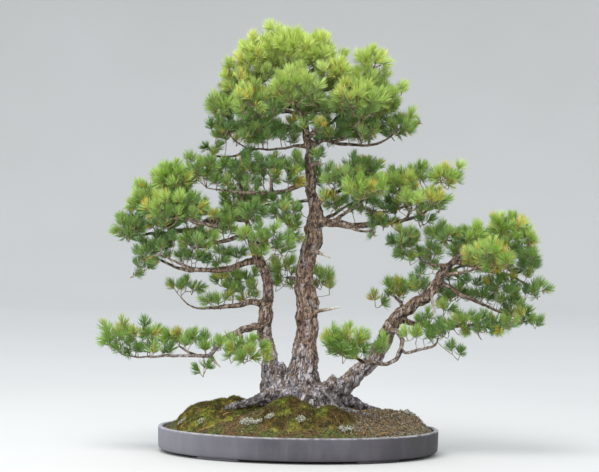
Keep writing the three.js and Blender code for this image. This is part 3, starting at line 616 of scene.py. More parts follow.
# %% Branches on the left
LEFT_BRANCHES = [
    [[-84, -8, 384, 8], [-120, -23, 373, 7.5], [-145, -34, 365, 7], [-172, -42, 361, 6.5],
     [-200, -49, 362, 5.5], [-226, -55, 368, 4.5], [-252, -57, 379, 3.5], [-278, -49, 390, 2.5]],
    [[-188, -47, 361, 4], [-220, -26, 360, 3.5], [-252, -5, 366, 3], [-280, 5, 378, 2.2]],
    [[-102, -4, 428, 5], [-125, -23, 430, 5], [-150, -36, 420, 4], [-180, -47, 412, 3.2],
     [-210, -55, 404, 2.2]],
    [[-112, 2, 462, 5], [-140, 8, 464, 7.5], [-168, 12, 462, 8], [-184, 12, 459, 7.5],
     [-202, 12, 449, 6.5], [-230, 8, 440, 5], [-262, 2, 434, 4], [-300, -4, 430, 3],
     [-332, -8, 428, 2.2]],
    [[-202, 12, 449, 5], [-232, 14, 468, 4.5], [-258, 21, 494, 4], [-278, 21, 522, 3]],
    [[-258, 21, 494, 3], [-286, 14, 492, 3], [-308, 10, 488, 2.2]],
    [[20, -2, 505, 4], [-15, -6, 500, 3], [-60, -12, 494, 2.8], [-90, -8, 485, 2.8],
     [-122, -2, 478, 3], [-150, 6, 468, 3.5]],
    [[16, -3, 545, 7], [-8, -8, 532, 6.5], [-30, -12, 522, 6], [-60, -23, 517, 5.5],
     [-92, -29, 515, 5], [-125, -31, 516, 4], [-155, -31, 520, 3.2], [-190, -26, 524, 2.4]],
    [[-60, -23, 517, 3.5], [-62, -34, 535, 3], [-62, -42, 548, 2.4]],
    [[-66, -9, 295, 9], [-95, -6, 298, 8], [-122, -2, 293, 6.5], [-150, 4, 288, 5.5],
     [-180, 8, 285, 4.5], [-204, 8, 283, 3.5], [-226, 8, 291, 2.8], [-240, 6, 306, 2.2]],
    [[-70, -10, 252, 9], [-95, -31, 250, 8.5], [-120, -44, 240, 8], [-146, -52, 228, 6.5],
     [-164, -52, 210, 5.5], [-176, -49, 194, 5], [-205, -47, 192, 4.5], [-260, -42, 191, 4],
     [-308, -36, 187, 3.2], [-345, -31, 189, 2.8], [-366, -29, 202, 2.2]],
    [[-200, -47, 192, 3], [-222, -44, 201, 2.6], [-238, -42, 211, 2]],
    [[-120, -44, 240, 4.5], [-112, -65, 222, 3.8], [-104, -81, 206, 2.6]],
    [[-100, -4, 425, 4], [-92, -36, 420, 3.4], [-80, -60, 414, 2.6]],
    [[-104, -4, 436, 4.5], [-150, -44, 446, 4], [-200, -75, 454, 3.5], [-240, -91, 464, 2.5]],
    [[-113, 2, 474, 4.5], [-122, 52, 478, 4], [-124, 94, 482, 3]],
    [[-122, 52, 478, 3.5], [-165, 86, 478, 3.2], [-205, 104, 476, 3], [-240, 112, 478, 2.4]],
    [[6, 12, 346, 5], [-12, 62, 345, 4], [-28, 96, 346, 2.8]],
]
print("branches on the left:", len(LEFT_BRANCHES))

# %% [markdown]
# The crown is one rounded head on the top third of the main trunk. Its branches go to all sides, and
# each is short, so that light still reaches the ones below.

# %% Branches of the crown
CROWN_BRANCHES = [
    [[12, -3, 610, 5.5], [-15, -4, 612, 4], [-42, -6, 606, 3.6], [-80, -8, 604, 3.4],
     [-112, -10, 606, 3.2], [-136, -10, 620, 3], [-152, -10, 642, 2.6], [-160, -9, 668, 2]],
    [[-112, -10, 606, 2.6], [-125, 0, 596, 2.4], [-150, 12, 588, 2.4], [-172, 23, 590, 2]],
    [[12, -3, 608, 6], [38, -2, 624, 5.2], [62, 0, 620, 4.6], [100, 4, 616, 4.2], [140, 6, 617, 3.8],
     [162, 4, 626, 3.4], [182, 0, 640, 3], [198, -4, 656, 2.2]],
    [[62, 0, 620, 3.5], [95, -36, 638, 3.4], [112, -65, 662, 2.6], [112, -75, 684, 2]],
    [[4, -2, 645, 5], [-30, 2, 652, 4.5], [-70, 6, 660, 4], [-110, 8, 680, 3.4], [-135, 10, 708, 2.6]],
    [[-10, 0, 715, 5], [20, 4, 722, 4.6], [50, 4, 728, 4], [90, 2, 740, 3.4], [125, 0, 760, 2.4]],
    [[50, 4, 728, 3.4], [85, 14, 712, 3], [120, 29, 702, 2.8], [145, 31, 700, 2.2]],
    [[-15, 0, 738, 4.5], [15, 8, 762, 3.6], [40, 10, 776, 2.6]],
    [[-16, 0, 742, 4.5], [-50, 0, 758, 3.8], [-90, 0, 768, 2.6]],
    [[2, -3, 655, 4.5], [-6, -49, 672, 3.8], [-14, -86, 690, 2.6]],
    [[-6, -2, 695, 4.5], [-45, -47, 688, 3.8], [-85, -78, 688, 2.6]],
    [[-2, 2, 680, 4.5], [-40, 57, 684, 3.8], [-80, 91, 694, 2.6]],
    [[2, 2, 658, 4.5], [6, 57, 676, 3.8], [2, 99, 696, 2.6]],
    [[8, 0, 632, 4.5], [48, 55, 658, 3.8], [78, 86, 682, 2.6]],
    [[8, -4, 628, 4], [18, -47, 632, 3.2], [26, -73, 638, 2.4]],
]
print("branches of the crown:", len(CROWN_BRANCHES))

# %% [markdown]
# The branches on the right start high on the main trunk, or spread from the slanting right trunk,
# whose lowest ones bend down and in. A few short stubs are what is left of branches that died.

# %% Branches on the right and dead stubs
RIGHT_BRANCHES = [
    [[26, 0, 468, 11], [46, -2, 461, 10], [66, -3, 456, 9], [92, -4, 454, 8], [122, -2, 456, 7],
     [150, 2, 461, 6.2], [182, 5, 463, 5.5], [204, 5, 467, 5], [230, 2, 476, 4.2],
     [252, -2, 488, 3.4], [268, -8, 500, 2.4]],
    [[60, -3, 460, 5.5], [80, -10, 475, 4.5], [100, -14, 489, 4.2], [124, -14, 489, 4],
     [150, -8, 483, 3.8], [172, -2, 484, 3.6], [192, 2, 491, 3.4], [214, 4, 500, 3.2],
     [240, 6, 520, 3], [268, 6, 542, 2.4]],
    [[192, 2, 491, 3], [196, 6, 510, 2.8], [196, 8, 528, 2.2]],
    [[100, -14, 489, 3.4], [112, -52, 496, 3], [118, -75, 506, 2.4]],
    [[24, -1, 492, 7], [48, -10, 512, 5], [64, -29, 528, 3]],
    [[48, -10, 512, 4], [84, 0, 530, 3.6], [114, 8, 552, 2.6]],
    [[25, 4, 455, 6], [66, 52, 478, 4.5], [106, 83, 504, 3]],
    [[66, -3, 459, 3.2], [120, -8, 444, 2.6], [142, -10, 446, 1.8]],
    [[204, 5, 467, 3], [212, -31, 480, 2.8], [216, -57, 492, 2.2]],
    [[296, -2, 379, 6], [270, -6, 379, 4], [248, -8, 382, 3.4], [232, -8, 398, 2.8],
     [218, -7, 414, 2]],
    [[302, -2, 384, 6], [330, -2, 384, 5.4], [362, -2, 372, 5], [392, 0, 365, 4.6],
     [420, 2, 362, 4], [444, 4, 370, 3]],
    [[362, -2, 372, 4], [376, 0, 400, 3.6], [390, 4, 428, 3], [396, 6, 448, 2.4]],
    [[420, 2, 362, 3], [444, -2, 346, 2.6], [462, -4, 336, 2]],
    [[277, -1, 358, 6], [312, -49, 364, 4.6], [345, -86, 376, 3]],
    [[277, 2, 360, 6], [312, 55, 370, 4.6], [338, 91, 382, 3]],
    [[270, 0, 348, 7], [285, -2, 342, 6], [308, -10, 327, 5.6], [332, -21, 315, 5.2],
     [354, -26, 306, 4.6], [376, -26, 296, 4], [408, -14, 284, 3.4], [434, -8, 276, 2.6]],
    [[192, 4, 272, 8], [215, 2, 265, 7], [246, -2, 258, 5.5], [282, -8, 257, 4.6],
     [322, -21, 259, 4], [350, -31, 263, 3]],
    [[172, -6, 250, 7], [192, -23, 244, 6], [203, -31, 228, 5.5], [201, -36, 212, 5],
     [212, -36, 205, 4.6], [240, -34, 211, 4.2], [268, -29, 222, 3.8], [276, -23, 240, 2.6]],
    [[201, -36, 211, 4.8], [190, -44, 192, 4.4], [174, -55, 184, 4.2], [150, -65, 186, 4],
     [126, -78, 189, 3.4], [108, -91, 196, 2.6]],
    [[210, 4, 288, 5], [204, 52, 300, 4], [192, 86, 312, 2.8]],
]
DEAD_STUBS = [
    [[14, -6, 574, 6], [30, -8, 577, 2.8], [43, -8, 577, 1.4]],
    [[18, -2, 402, 6], [40, -10, 398, 3], [58, -12, 389, 1.4]],
    [[18, -2, 278, 7], [38, -10, 283, 3.8], [60, -12, 287, 3.1], [78, -13, 291, 1.6]],
    [[-176, -38, 192, 4], [-166, -46, 180, 2.4], [-156, -50, 171, 1.2]],
    [[266, -6, 338, 6], [262, -16, 312, 3], [266, -20, 292, 2.4], [274, -22, 276, 1.4]],
]
BRANCHES = [*LEFT_BRANCHES, *CROWN_BRANCHES, *RIGHT_BRANCHES]
print("branches:", len(BRANCHES), "dead stubs:", len(DEAD_STUBS))

# %% [markdown]
# A limb bends smoothly from point to point. Some curves through given points loop where two of them
# lie close together. The centripetal kind never does, because its steps grow with the square root of
# the distance. The radius is carried along as a fourth number.


# %% Smooth lines
THINNEST = 0.4


def smooth_line(route, spacing):
    """Places and radii along the curve through a route, about spacing apart."""
    route = np.array(route, float)
    ends = np.concatenate([[2 * route[0] - route[1]], route, [2 * route[-1] - route[-2]]])
    stretches = []
    for i in range(len(route) - 1):
        p = ends[i : i + 4]
        knots = np.cumsum([0, *np.sqrt(np.linalg.norm(np.diff(p[:, :3], axis=0), axis=1))])
        count = max(2, round(np.linalg.norm(p[2, :3] - p[1, :3]) / spacing))
        t = np.linspace(knots[1], knots[2], count, endpoint=False)[:, None]

        def blend(first, second, a, b):
            return (first * (knots[b] - t) + second * (t - knots[a])) / (knots[b] - knots[a])

        a1, a2, a3 = blend(p[0], p[1], 0, 1), blend(p[1], p[2], 1, 2), blend(p[2], p[3], 2, 3)
        stretches.append(blend(blend(a1, a2, 0, 2), blend(a2, a3, 1, 3), 1, 2))
    line = np.concatenate([*stretches, route[-1:]])
    return line[:, :3], np.maximum(line[:, 3], THINNEST)


trunk_line, trunk_radii = smooth_line(TRUNKS[0], 6)
print("main trunk:", len(trunk_line), "places,", trunk_radii.max(), "mm at its thickest")

# %% [markdown]
# A round bar along the line gives the limb its body. Blender's curve bevel would do for an even tube,
# but wood is uneven, so the rings are set by hand, each with its own radius on every side. A frame
# carried along the line without twisting keeps the bar's sides in line, and each limb wavers a little.


# %% Round bars
def bar(line, radii, sides):
    """A closed round bar along a line; radii may differ from side to side."""
    tangents = np.gradient(line, axis=0)
    tangents /= np.linalg.norm(tangents, axis=1, keepdims=True)
    normal = np.cross(tangents[0], [0.31, 0.87, 0.38])
    angles = np.linspace(0, 2 * math.pi, sides, endpoint=False)
    rings = []
    for place, tangent, radius in zip(line, tangents, radii):
        normal = normal - tangent * (normal @ tangent)
        normal /= np.linalg.norm(normal)
        other = np.cross(tangent, normal)
        around = np.outer(np.cos(angles), normal) + np.outer(np.sin(angles), other)
        rings.append(place + around * np.reshape(radius, (-1, 1)))
    count = len(line)
    here = np.arange(sides)
    after = (here + 1) % sides
    start_fan = np.column_stack([after, here, np.full(sides, count * sides)])
    last_ring = (count - 1) * sides
    end_fan = np.column_stack([last_ring + here, last_ring + after, np.full(sides, count * sides + 1)])
    points = np.concatenate([*rings, line[:1], line[-1:] + tangents[-1:] * np.min(radii[-1])])
    return points, np.concatenate([in_triangles(ring_faces(count, sides)), start_fan, end_fan])


def limb(route, sides, spacing, waver=0.25):
    """A limb's points, triangles and girth at each point."""
    line, radii = smooth_line(route, spacing)
    seed = abs(int(7 * route[0][0] + 3 * route[0][1] + route[0][2]))
    shift = np.column_stack([lumps(line, 34, seed + k) for k in (1, 2, 3)])
    ease = np.minimum(1, np.arange(len(line)) / 4)[:, None]
    line = line + shift * ease * np.minimum(radii, 9)[:, None] * waver
    around = np.stack([lumps(line, 26, seed + 10 + k % 4) for k in range(sides)], axis=1)
    uneven = radii[:, None] * (1 + 0.1 * around)
    points, triangles = bar(line, uneven, sides)
    girth = np.concatenate([np.repeat(radii, sides), radii[:1], radii[-1:]])
    return points, triangles, girth


print("points of a dead stub:", len(limb(DEAD_STUBS[0], 8, 4)[0]))

# %% [markdown]
# Where limbs meet, real wood has no seam. The thick limbs are therefore laid over each other as bars
# and wrapped in one skin by a voxel remesh, which also softens the forks. Thin branches would be lost
# in voxels of this size, so they stay as bars whose feet are buried in the wood.

# %% One skin for the thick wood
VOXEL = 2.6
THICK = 5.2
thick_branches = [route for route in BRANCHES if route[0][3] >= THICK]
thin_branches = [route for route in BRANCHES if route[0][3] < THICK]
rough = Heap()
for route in [BASE, *SHOULDERS, *TRUNKS, *ROOTS, *thick_branches]:
    rough_points, rough_triangles, _ = limb(route, sides=20, spacing=7)
    rough.add(rough_points, rough_triangles)
rough_mesh = make_mesh("rough_wood", np.concatenate(rough.points), np.concatenate(rough.triangles))
rough_wood = bpy.data.objects.new("rough_wood", rough_mesh)
scene.collection.objects.link(rough_wood)
skin = rough_wood.modifiers.new("skin", "REMESH")
skin.mode = "VOXEL"
skin.voxel_size = VOXEL * MM
skin_points, skin_triangles = read_shape(rough_wood)
bpy.data.objects.remove(rough_wood)
print("skin of the thick wood:", len(skin_triangles), "triangles")

# %% [markdown]
# The bark's relief depends on the way out of the surface, on how thick the limb is, and on whether a
# root runs there. A search tree over the limbs' lines finds the nearest one for each point quickly.


# %% Directions, girth and roots
def point_normals(points, triangles):
    """The direction out of the surface at each point."""
    a, b, c = (points[triangles[:, k]] for k in range(3))
    faces = np.cross(b - a, c - a)
    normals = np.zeros_like(points)
    for k in range(3):
        np.add.at(normals, triangles[:, k], faces)
    return normals / np.maximum(np.linalg.norm(normals, axis=1, keepdims=True), 1e-9)


def tree_of(points):
    """A search tree over points."""
    tree = kdtree.KDTree(len(points))
    for number, point in enumerate(points):
        tree.insert(point, number)
    tree.balance()
    return tree


limb_lines = [smooth_line(route, 6) for route in [*TRUNKS, BASE, *SHOULDERS, *ROOTS, *BRANCHES]]
line_points = np.concatenate([line for line, _ in limb_lines])
line_radii = np.concatenate([radii for _, radii in limb_lines])
line_tree = tree_of(line_points)


def girth_at(points):
    """How thick the wood is at each point, from the nearest limb's line."""
    return np.array([line_radii[line_tree.find(point)[1]] for point in points])


def smoothstep(low, high, value):
    t = np.clip((value - low) / (high - low), 0, 1)
    return t * t * (3 - 2 * t)


root_lines = [smooth_line(route, 8) for route in ROOTS]
root_places = np.concatenate([line for line, _ in root_lines])
root_radii = np.concatenate([radii for _, radii in root_lines])


def beside_root(x, y, reach):
    """1 where a root runs, 0 further from its side than reach, seen from above."""
    away = np.hypot(x[:, None] - root_places[:, 0], y[:, None] - root_places[:, 1]) - root_radii
    return 1 - smoothstep(0, reach, away.min(axis=1))


skin_girth = girth_at(skin_points)
print("mean radius under the skin:", round(float(skin_girth.mean()), 1), "mm")

# %% [markdown]
# Old pine bark breaks into plates. Scattered seeds own the bark around them, and the seams between two
# seeds' lands are the fissures: the less one seed is nearer than the other, the deeper a point lies.
# Measuring heights at a third of their scale makes the plates taller than wide. Each plate gets its
# own thickness and its own chance of being a pale, freshly flaked one, most of all near the ground.
# A bump map could draw the seams, but plates this thick have to show in the outline too.

# %% Bark relief
PLATE_WIDTH = 7.5
UPRIGHT = np.array([1, 1, 0.32])


def bark_relief(points, girth, seed):
    """0 in a fissure and 1 on a plate, then each plate's thickness, and how pale it is."""
    chance = np.random.default_rng(seed)
    weight = 1 / np.clip(girth / 16, 0.35, 1.6) ** 1.2
    wanted = min(len(points) // 8, int(len(points) * VOXEL**2 / PLATE_WIDTH**2 * 1.1))
    seeds = chance.choice(len(points), wanted, replace=False, p=weight / weight.sum())
    warp = np.column_stack([lumps(points, 9, seed + k) for k in range(3)])
    warped = (points + 2.2 * warp) * UPRIGHT
    seed_tree = tree_of(warped[seeds])
    found = [seed_tree.find_n(point, 2) for point in warped]
    nearest = np.array([pair[0][1] for pair in found])
    seam = np.array([pair[1][2] - pair[0][2] for pair in found])
    thickness = chance.uniform(0.35, 1, wanted)[nearest]
    luck = chance.uniform(0, 1, wanted)[nearest]
    low_down = 1 - smoothstep(150, 290, points[:, 2])
    pale = smoothstep(0.78, 1.0, luck + 0.45 * low_down)
    return smoothstep(0.05, 1.7, seam), thickness, pale


plates, plate_thickness, plate_pale = bark_relief(skin_points, skin_girth, 3)
over_root = beside_root(skin_points[:, 0], skin_points[:, 1], 5)
on_root = over_root * (1 - smoothstep(112, 128, skin_points[:, 2]))
plate_pale = np.maximum(plate_pale, 0.75 * on_root)
near_ground = 1 - smoothstep(130, 210, skin_points[:, 2])
relief_depth = np.clip(skin_girth / 10, 0.25, 2.0) * (1.3 + 0.7 * near_ground)
swollen = 0.9 * (1 - smoothstep(8, 14, skin_girth))
relief = (plates * plate_thickness - 0.45) * relief_depth + 0.35 * lumps(skin_points, 7, 8) - swollen
skin_points = skin_points + point_normals(skin_points, skin_triangles) * relief[:, None]
print("fissured share of the bark:", round(float((plates < 0.3).mean()), 2))

# %% [markdown]
# Thin branches keep a smoother bark, greyer towards their tips. The short dead stubs have lost
# theirs, and the bare wood has bleached nearly white. One finish serves all of it: marks on the mesh
# say where a plate is, how pale it is, how thick the limb is and where the wood is bare. The colours
# of the plates come first, then the dark of the fissures, which is partly the bark's own dark colour
# and partly painted shade, and the bleached wood lies over both.

# %% The finished wood
wood = Heap("plate", "pale", "girth", "bleach")
wood.add(skin_points, skin_triangles, [plates, plate_pale, skin_girth / 20, 0])
for route in thin_branches:
    points, triangles, girth = limb(route, 8, 7, 0.45)
    rough_bark = smoothstep(-0.4, 0.5, lumps(points, 8, 5))
    wood.add(points, triangles, [rough_bark, smoothstep(0.3, 1, lumps(points, 18, 6)), girth / 20, 0])
for route in DEAD_STUBS:
    points, triangles, girth = limb(route, 8, 4, 0.3)
    out = np.linalg.norm(points - route[0][:3], axis=1)
    wood.add(points, triangles, [1, 0.2, girth / 20, smoothstep(0.45, 0.8, out / out.max())])

bark = Finish("pine_bark", roughness=0.85)
plate, pale, girth_mark, bleached = (bark.mark(name) for name in wood.mark_names)
fibres = bark.stretched(1, 1, 0.3)
streak = bark.speckle(3.0, 5, fibres).between(0.42, 0.6)
flake = bark.speckle(7.0, 4, fibres).between(0.52, 0.62)
broad = bark.speckle(30, 3).between(0.4, 0.62)
wood_height = bark.add("ShaderNodeSeparateXYZ", {}, {0: bark.place()}, output=2)
low_down = 1 - wood_height.between(0.17, 0.27)
brown = bark.mix(streak, paint("4e382c"), paint("937762"))
brown = bark.mix(broad * 0.5, brown, bark.mix(streak, paint("544130"), paint("a58b6c")))
brown = bark.mix(flake * 0.7, brown, paint("b7a596"))
pale_plate = bark.mix(streak, paint("857c80"), paint("dcd5d8"))
plate_tone = bark.mix(pale * (low_down * 0.25 + 0.55) + low_down * 0.12, brown, pale_plate)
twig_tone = bark.mix(streak, paint("7c6653"), paint("ac9a84"))
plate_tone = bark.mix((1 - girth_mark.between(0.1, 0.32)) * 0.7, plate_tone, twig_tone)
foot_shade = (1 - wood_height.between(0.12, 0.18)) * bark.speckle(13, 3).between(0.38, 0.55)
plate_tone = bark.mix(foot_shade * 0.75, plate_tone, paint("352c29"))
# The fissures are painted dark: partly the bark's own darker colour, partly painted shade in the cracks.
tone = bark.mix(plate.between(0.0, 0.6), paint("281d17"), plate_tone)
tone = bark.mix(bleached, tone, bark.mix(streak, paint("b9aa94"), paint("e0d8ca")))
bark.wear("Base Color", tone)
bark.wear("Roughness", streak * 0.2 + 0.72)
bark.bump(streak * 0.6 + bark.speckle(1.8, 5), 0.8, 0.7)
print("wood:", add_piece("pine_wood", wood, [bark], "bark", "tree_wood"), "triangles")

# %% [markdown]
# ## The ground
# The soil is mounded to the base of the tree, with humps where roots run under it. The same formula as
# in the CAD gives its height, and finer lumps are added on top. A grid of rings from the middle to the
# tray's wall carries it.

# %% Height of the ground
SOIL_HALF_LENGTH = TRAY_HALF_LENGTH - TRAY_WALL - 0.35
SOIL_HALF_WIDTH = TRAY_HALF_WIDTH - TRAY_WALL - 0.35
SOIL_EDGE_HEIGHT = 43
SOIL_RISE = 36
HUMPS = [[-15, -58, 26, 50, 36], [86, -72, 9, 32, 30], [-130, 14, 18, 30, 40], [-214, -4, 14, 26, 40],
         [172, 20, 13, 50, 50], [238, 8, 18, 26, 40]]


def ground_height(x, y):
    rim = np.minimum(1, np.hypot(x / SOIL_HALF_LENGTH, y / SOIL_HALF_WIDTH))
    hump = np.zeros(len(x))
    for hump_x, hump_y, rise, spread_x, spread_y in HUMPS:
        hump += rise * np.exp(-(((x - hump_x) / spread_x) ** 2 + ((y - hump_y) / spread_y) ** 2) / 2)
    return SOIL_EDGE_HEIGHT + SOIL_RISE * (1 - rim**4) + hump * (1 - rim**6)


def mossiness(x, y):
    """1 where moss covers the ground, 0 on the bare grit of the right end."""
    flat = np.column_stack([x, y])
    return smoothstep(150, 85, x + 22 * lumps(flat, 60, 4))


def ground_relief(x, y):
    """Small lumps: cushions under the moss, crumbs on the bare soil."""
    flat = np.column_stack([x, y])
    soft = 2.2 * lumps(flat, 34, 1) + 1.2 * lumps(flat, 13, 2)
    crumbs = 1.3 * lumps(flat, 9, 3) + 0.7 * lumps(flat, 4.5, 5)
    return soft + crumbs * (1 - 0.6 * mossiness(x, y)) - 5 * beside_root(x, y, 14)


def soil_surface(x, y):
    return ground_height(x, y) + ground_relief(x, y)


print("ground at the front:", float(ground_height(np.array([0.0]), np.array([-150.0]))[0]))

# %% [markdown]
# The soil fills the tray to just inside its wall. Its profile runs under it, up the wall and back to
# the middle in many rings, so the piece is closed and its top is fine enough for crumbs. The lumps
# fade at the wall, where soil is pressed down with the fingers.

# %% Soil shape
RING_COUNT = 84
SEGMENTS = 240
soil_profile = [
    (0.1, TRAY_FLOOR_TOP + 0.35),
    (SOIL_HALF_LENGTH - 8, TRAY_FLOOR_TOP + 0.35),
    (SOIL_HALF_LENGTH, TRAY_FLOOR_TOP + 6),
    (SOIL_HALF_LENGTH, SOIL_EDGE_HEIGHT - 4),
    *[(SOIL_HALF_LENGTH * k / RING_COUNT, SOIL_EDGE_HEIGHT) for k in range(RING_COUNT, 0, -1)],
    (0.1, SOIL_EDGE_HEIGHT),
]
soil_points, soil_faces = turned(soil_profile, SEGMENTS)
soil_points[:, 1] *= SOIL_HALF_WIDTH / SOIL_HALF_LENGTH
on_top = soil_points[:, 2] > SOIL_EDGE_HEIGHT - 1
soil_x, soil_y = soil_points[:, 0], soil_points[:, 1]
edge = np.hypot(soil_x / SOIL_HALF_LENGTH, soil_y / SOIL_HALF_WIDTH)
settled = ground_relief(soil_x, soil_y) * (1 - 0.7 * smoothstep(0.97, 1, edge))
soil_points[:, 2] = np.where(on_top, ground_height(soil_x, soil_y) + settled, soil_points[:, 2])
soil = Heap("moss", "grit_tone")
soil.add(soil_points, in_triangles(soil_faces), [mossiness(soil_x, soil_y), 0.5])
print("soil:", len(soil_faces), "faces")

# %% [markdown]
# The bare end is top-dressed with grit: small angular grains of pumice and lava, pale, grey and
# brown. Copying an object thousands of times would be slow, so one eight-faced lump is stretched,
# turned and placed as an array, each copy half sunk in the soil.

# %% Grit
GRAIN_COUNT = 2600
GRAIN_CORNERS = np.array([[1, 0, 0], [-1, 0, 0], [0, 1, 0], [0, -1, 0], [0, 0, 1], [0, 0, -1]], float)
GRAIN_FACES = np.array([[0, 2, 4], [2, 1, 4], [1, 3, 4], [3, 0, 4],
                        [2, 0, 5], [1, 2, 5], [3, 1, 5], [0, 3, 5]])


def scatter(chance, count, keep):
    """Places over the oval of the tray where keep(x, y) says that they may be."""
    angle = chance.uniform(0, 2 * math.pi, 6 * count)
    out = 0.985 * np.sqrt(chance.uniform(0, 1, 6 * count))
    x = SOIL_HALF_LENGTH * out * np.cos(angle)
    y = SOIL_HALF_WIDTH * out * np.sin(angle)
    kept = keep(x, y) > chance.uniform(0, 1, 6 * count)
    return x[kept][:count], y[kept][:count]


def copies(corners, faces, places, sizes, turns):
    """One shape at many places, each stretched by its sizes and turned about the upright axis."""
    shape = corners[None] * sizes[:, None]
    cos, sin = np.cos(turns)[:, None], np.sin(turns)[:, None]
    x = shape[..., 0] * cos - shape[..., 1] * sin
    y = shape[..., 0] * sin + shape[..., 1] * cos
    points = np.stack([x, y, shape[..., 2]], axis=2) + places[:, None]
    offsets = np.arange(len(places))[:, None, None] * len(corners)
    return points.reshape(-1, 3), (faces[None] + offsets).reshape(-1, 3)


chance = np.random.default_rng(11)
grain_x, grain_y = scatter(chance, GRAIN_COUNT, lambda x, y: 1.04 - mossiness(x, y))
grain_places = np.column_stack([grain_x, grain_y, soil_surface(grain_x, grain_y) + 0.3])
grain_sizes = chance.uniform(0.9, 2.3, (len(grain_x), 1)) * chance.uniform(0.6, 1.2, (len(grain_x), 3))
grain_points, grain_faces = copies(
    GRAIN_CORNERS, GRAIN_FACES, grain_places, grain_sizes, chance.uniform(0, 6.28, len(grain_x)))
grain_tones = np.repeat(chance.uniform(0, 1, len(grain_x)), len(GRAIN_CORNERS))
soil.add(grain_points, grain_faces, [0, grain_tones], 1)
print("grains:", len(grain_x))

# %% [markdown]
# Between the mats, low moss and dark humus share the surface, so the soil's colour follows the same
# mossiness that shapes it. The grains wear one finish whose tone is drawn per grain.

# %% Soil finishes
humus = Finish("mossy_soil", roughness=0.95)
mossy = humus.mark("moss")
fine = humus.speckle(5, 5).between(0.35, 0.65)
patches = humus.speckle(38, 3).between(0.42, 0.6)
green = humus.mix(fine, paint("22260c"), paint("5f6424"))
rusty = humus.mix(fine, paint("2a1d0e"), paint("6a5028"))
moss_tone = humus.mix(patches, green, rusty)
bare = humus.mix(fine, paint("281f16"), paint("86795b"))
humus.wear("Base Color", humus.mix(mossy, bare, moss_tone))
humus.bump(humus.speckle(2.4, 5), 1.2, 0.9)

grit = Finish("pumice_grit", roughness=0.9)
grain_tone = grit.mark("grit_tone")
grit_body = grit.mix(grain_tone.between(0, 0.6), paint("4b3629"), paint("978b74"))
grit_body = grit.mix(grain_tone.between(0.82, 0.97), grit_body, paint("d4cab6"))
grit.wear("Base Color", grit.mix(grit.speckle(1, 3) * 0.5, grit_body, paint("4a3d33")))
print("soil:", add_piece("soil_and_grit", soil, [humus, grit], "soil", "soil"), "triangles")

# %% [markdown]
# ## Moss
# Moss grows in cushions that run together into mats. Each mat is a disc of rings draped over the
# ground; its height is the tallest of many little domes, which gives the deep creases between
# cushions. The mats thin out where a root runs, so that the root stays bare.

# %% Moss mats
MOSS_MATS = [["moss_mat_left", -168, -22, 84, 92, 9], ["moss_mat_front", 8, -104, 92, 60, 8],
             ["moss_mat_back", 30, 118, 120, 44, 8]]


def mat_outline_size(x, y, mat):
    """0 in the middle of a mat and 1 at its wandering edge."""
    _, mat_x, mat_y, half_length, half_width, _ = mat
    across = np.stack([(x - mat_x) / half_length, (y - mat_y) / half_width])
    wander = 1 + 0.1 * np.sin(3 * np.arctan2(across[1], across[0]) + mat_x)
    return np.hypot(*across) / wander


def cushion_field(chance, mat, count=260):
    """A function that gives the height of the tallest dome at each place."""
    _, mat_x, mat_y, half_length, half_width, _ = mat
    middles_x = mat_x + half_length * chance.uniform(-1.1, 1.1, count)
    middles_y = mat_y + half_width * chance.uniform(-1.1, 1.1, count)
    radii = chance.uniform(7, 17, count)

    def height(x, y):
        away = ((x[:, None] - middles_x) ** 2 + (y[:, None] - middles_y) ** 2) / radii**2
        return (radii * 0.55 * np.sqrt(np.maximum(0, 1 - away))).max(axis=1)

    return height


def moss_top(x, y, mat, cushions):
    size = np.minimum(mat_outline_size(x, y, mat), 1)
    swell = mat[5] * np.sqrt(1 - size**2)
    thickness = swell * 0.6 + cushions(x, y) * (1 - size**4) + 1.5 - 3 * size**8
    return ground_height(x, y) + thickness - (thickness + 3) * beside_root(x, y, 16)


print("mats:", [name for name, *_ in MOSS_MATS])

# %% [markdown]
# Thousands of tiny leaves stand on the cushions, because the fuzz is what tells moss from green paint.
# Hair would be the usual tool, but one triangle a leaf is enough at this size and stays plain mesh. At
# the front of the mound, where it dries first, the moss has turned brown.


# %% Moss leaves
def brownness(x, y, mat):
    """How much of the moss has dried brown: most at the front, below the crest of the mound."""
    low = smoothstep(-62, -96, y) if mat[0] == "moss_mat_front" else 0.25
    return np.clip(low * (0.7 + 0.5 * lumps(np.column_stack([x, y]), 48, 9)), 0, 1)


BLADE_COUNT = 15000
BLADE_HEIGHT = 4.2
BLADE_WIDTH = 1.1


def add_blades(heap, chance, count, mat, cushions):
    """Tiny leaves, one triangle each, standing on a mat."""
    _, mat_x, mat_y, half_length, half_width, _ = mat
    x = mat_x + half_length * chance.uniform(-1.1, 1.1, 2 * count)
    y = mat_y + half_width * chance.uniform(-1.1, 1.1, 2 * count)
    inside = mat_outline_size(x, y, mat) < 0.97
    x, y = x[inside][:count], y[inside][:count]
    feet = np.column_stack([x, y, moss_top(x, y, mat, cushions) - 0.6])
    turn = chance.uniform(0, 2 * math.pi, len(x))
    side = np.column_stack([np.cos(turn), np.sin(turn), np.zeros(len(x))]) * BLADE_WIDTH / 2
    lean = chance.normal(0, 0.9, (len(x), 3))
    tips = feet + lean + np.array([0, 0, 1]) * chance.uniform(0.6, 1.2, (len(x), 1)) * BLADE_HEIGHT
    points = np.stack([feet - side, feet + side, tips], axis=1).reshape(-1, 3)
    brown = np.repeat(brownness(x, y, mat), 3)
    heap.add(points, np.arange(len(points)).reshape(-1, 3), [np.tile([0.2, 0.2, 1], len(x)), brown])


print("leaves on a mat:", BLADE_COUNT)
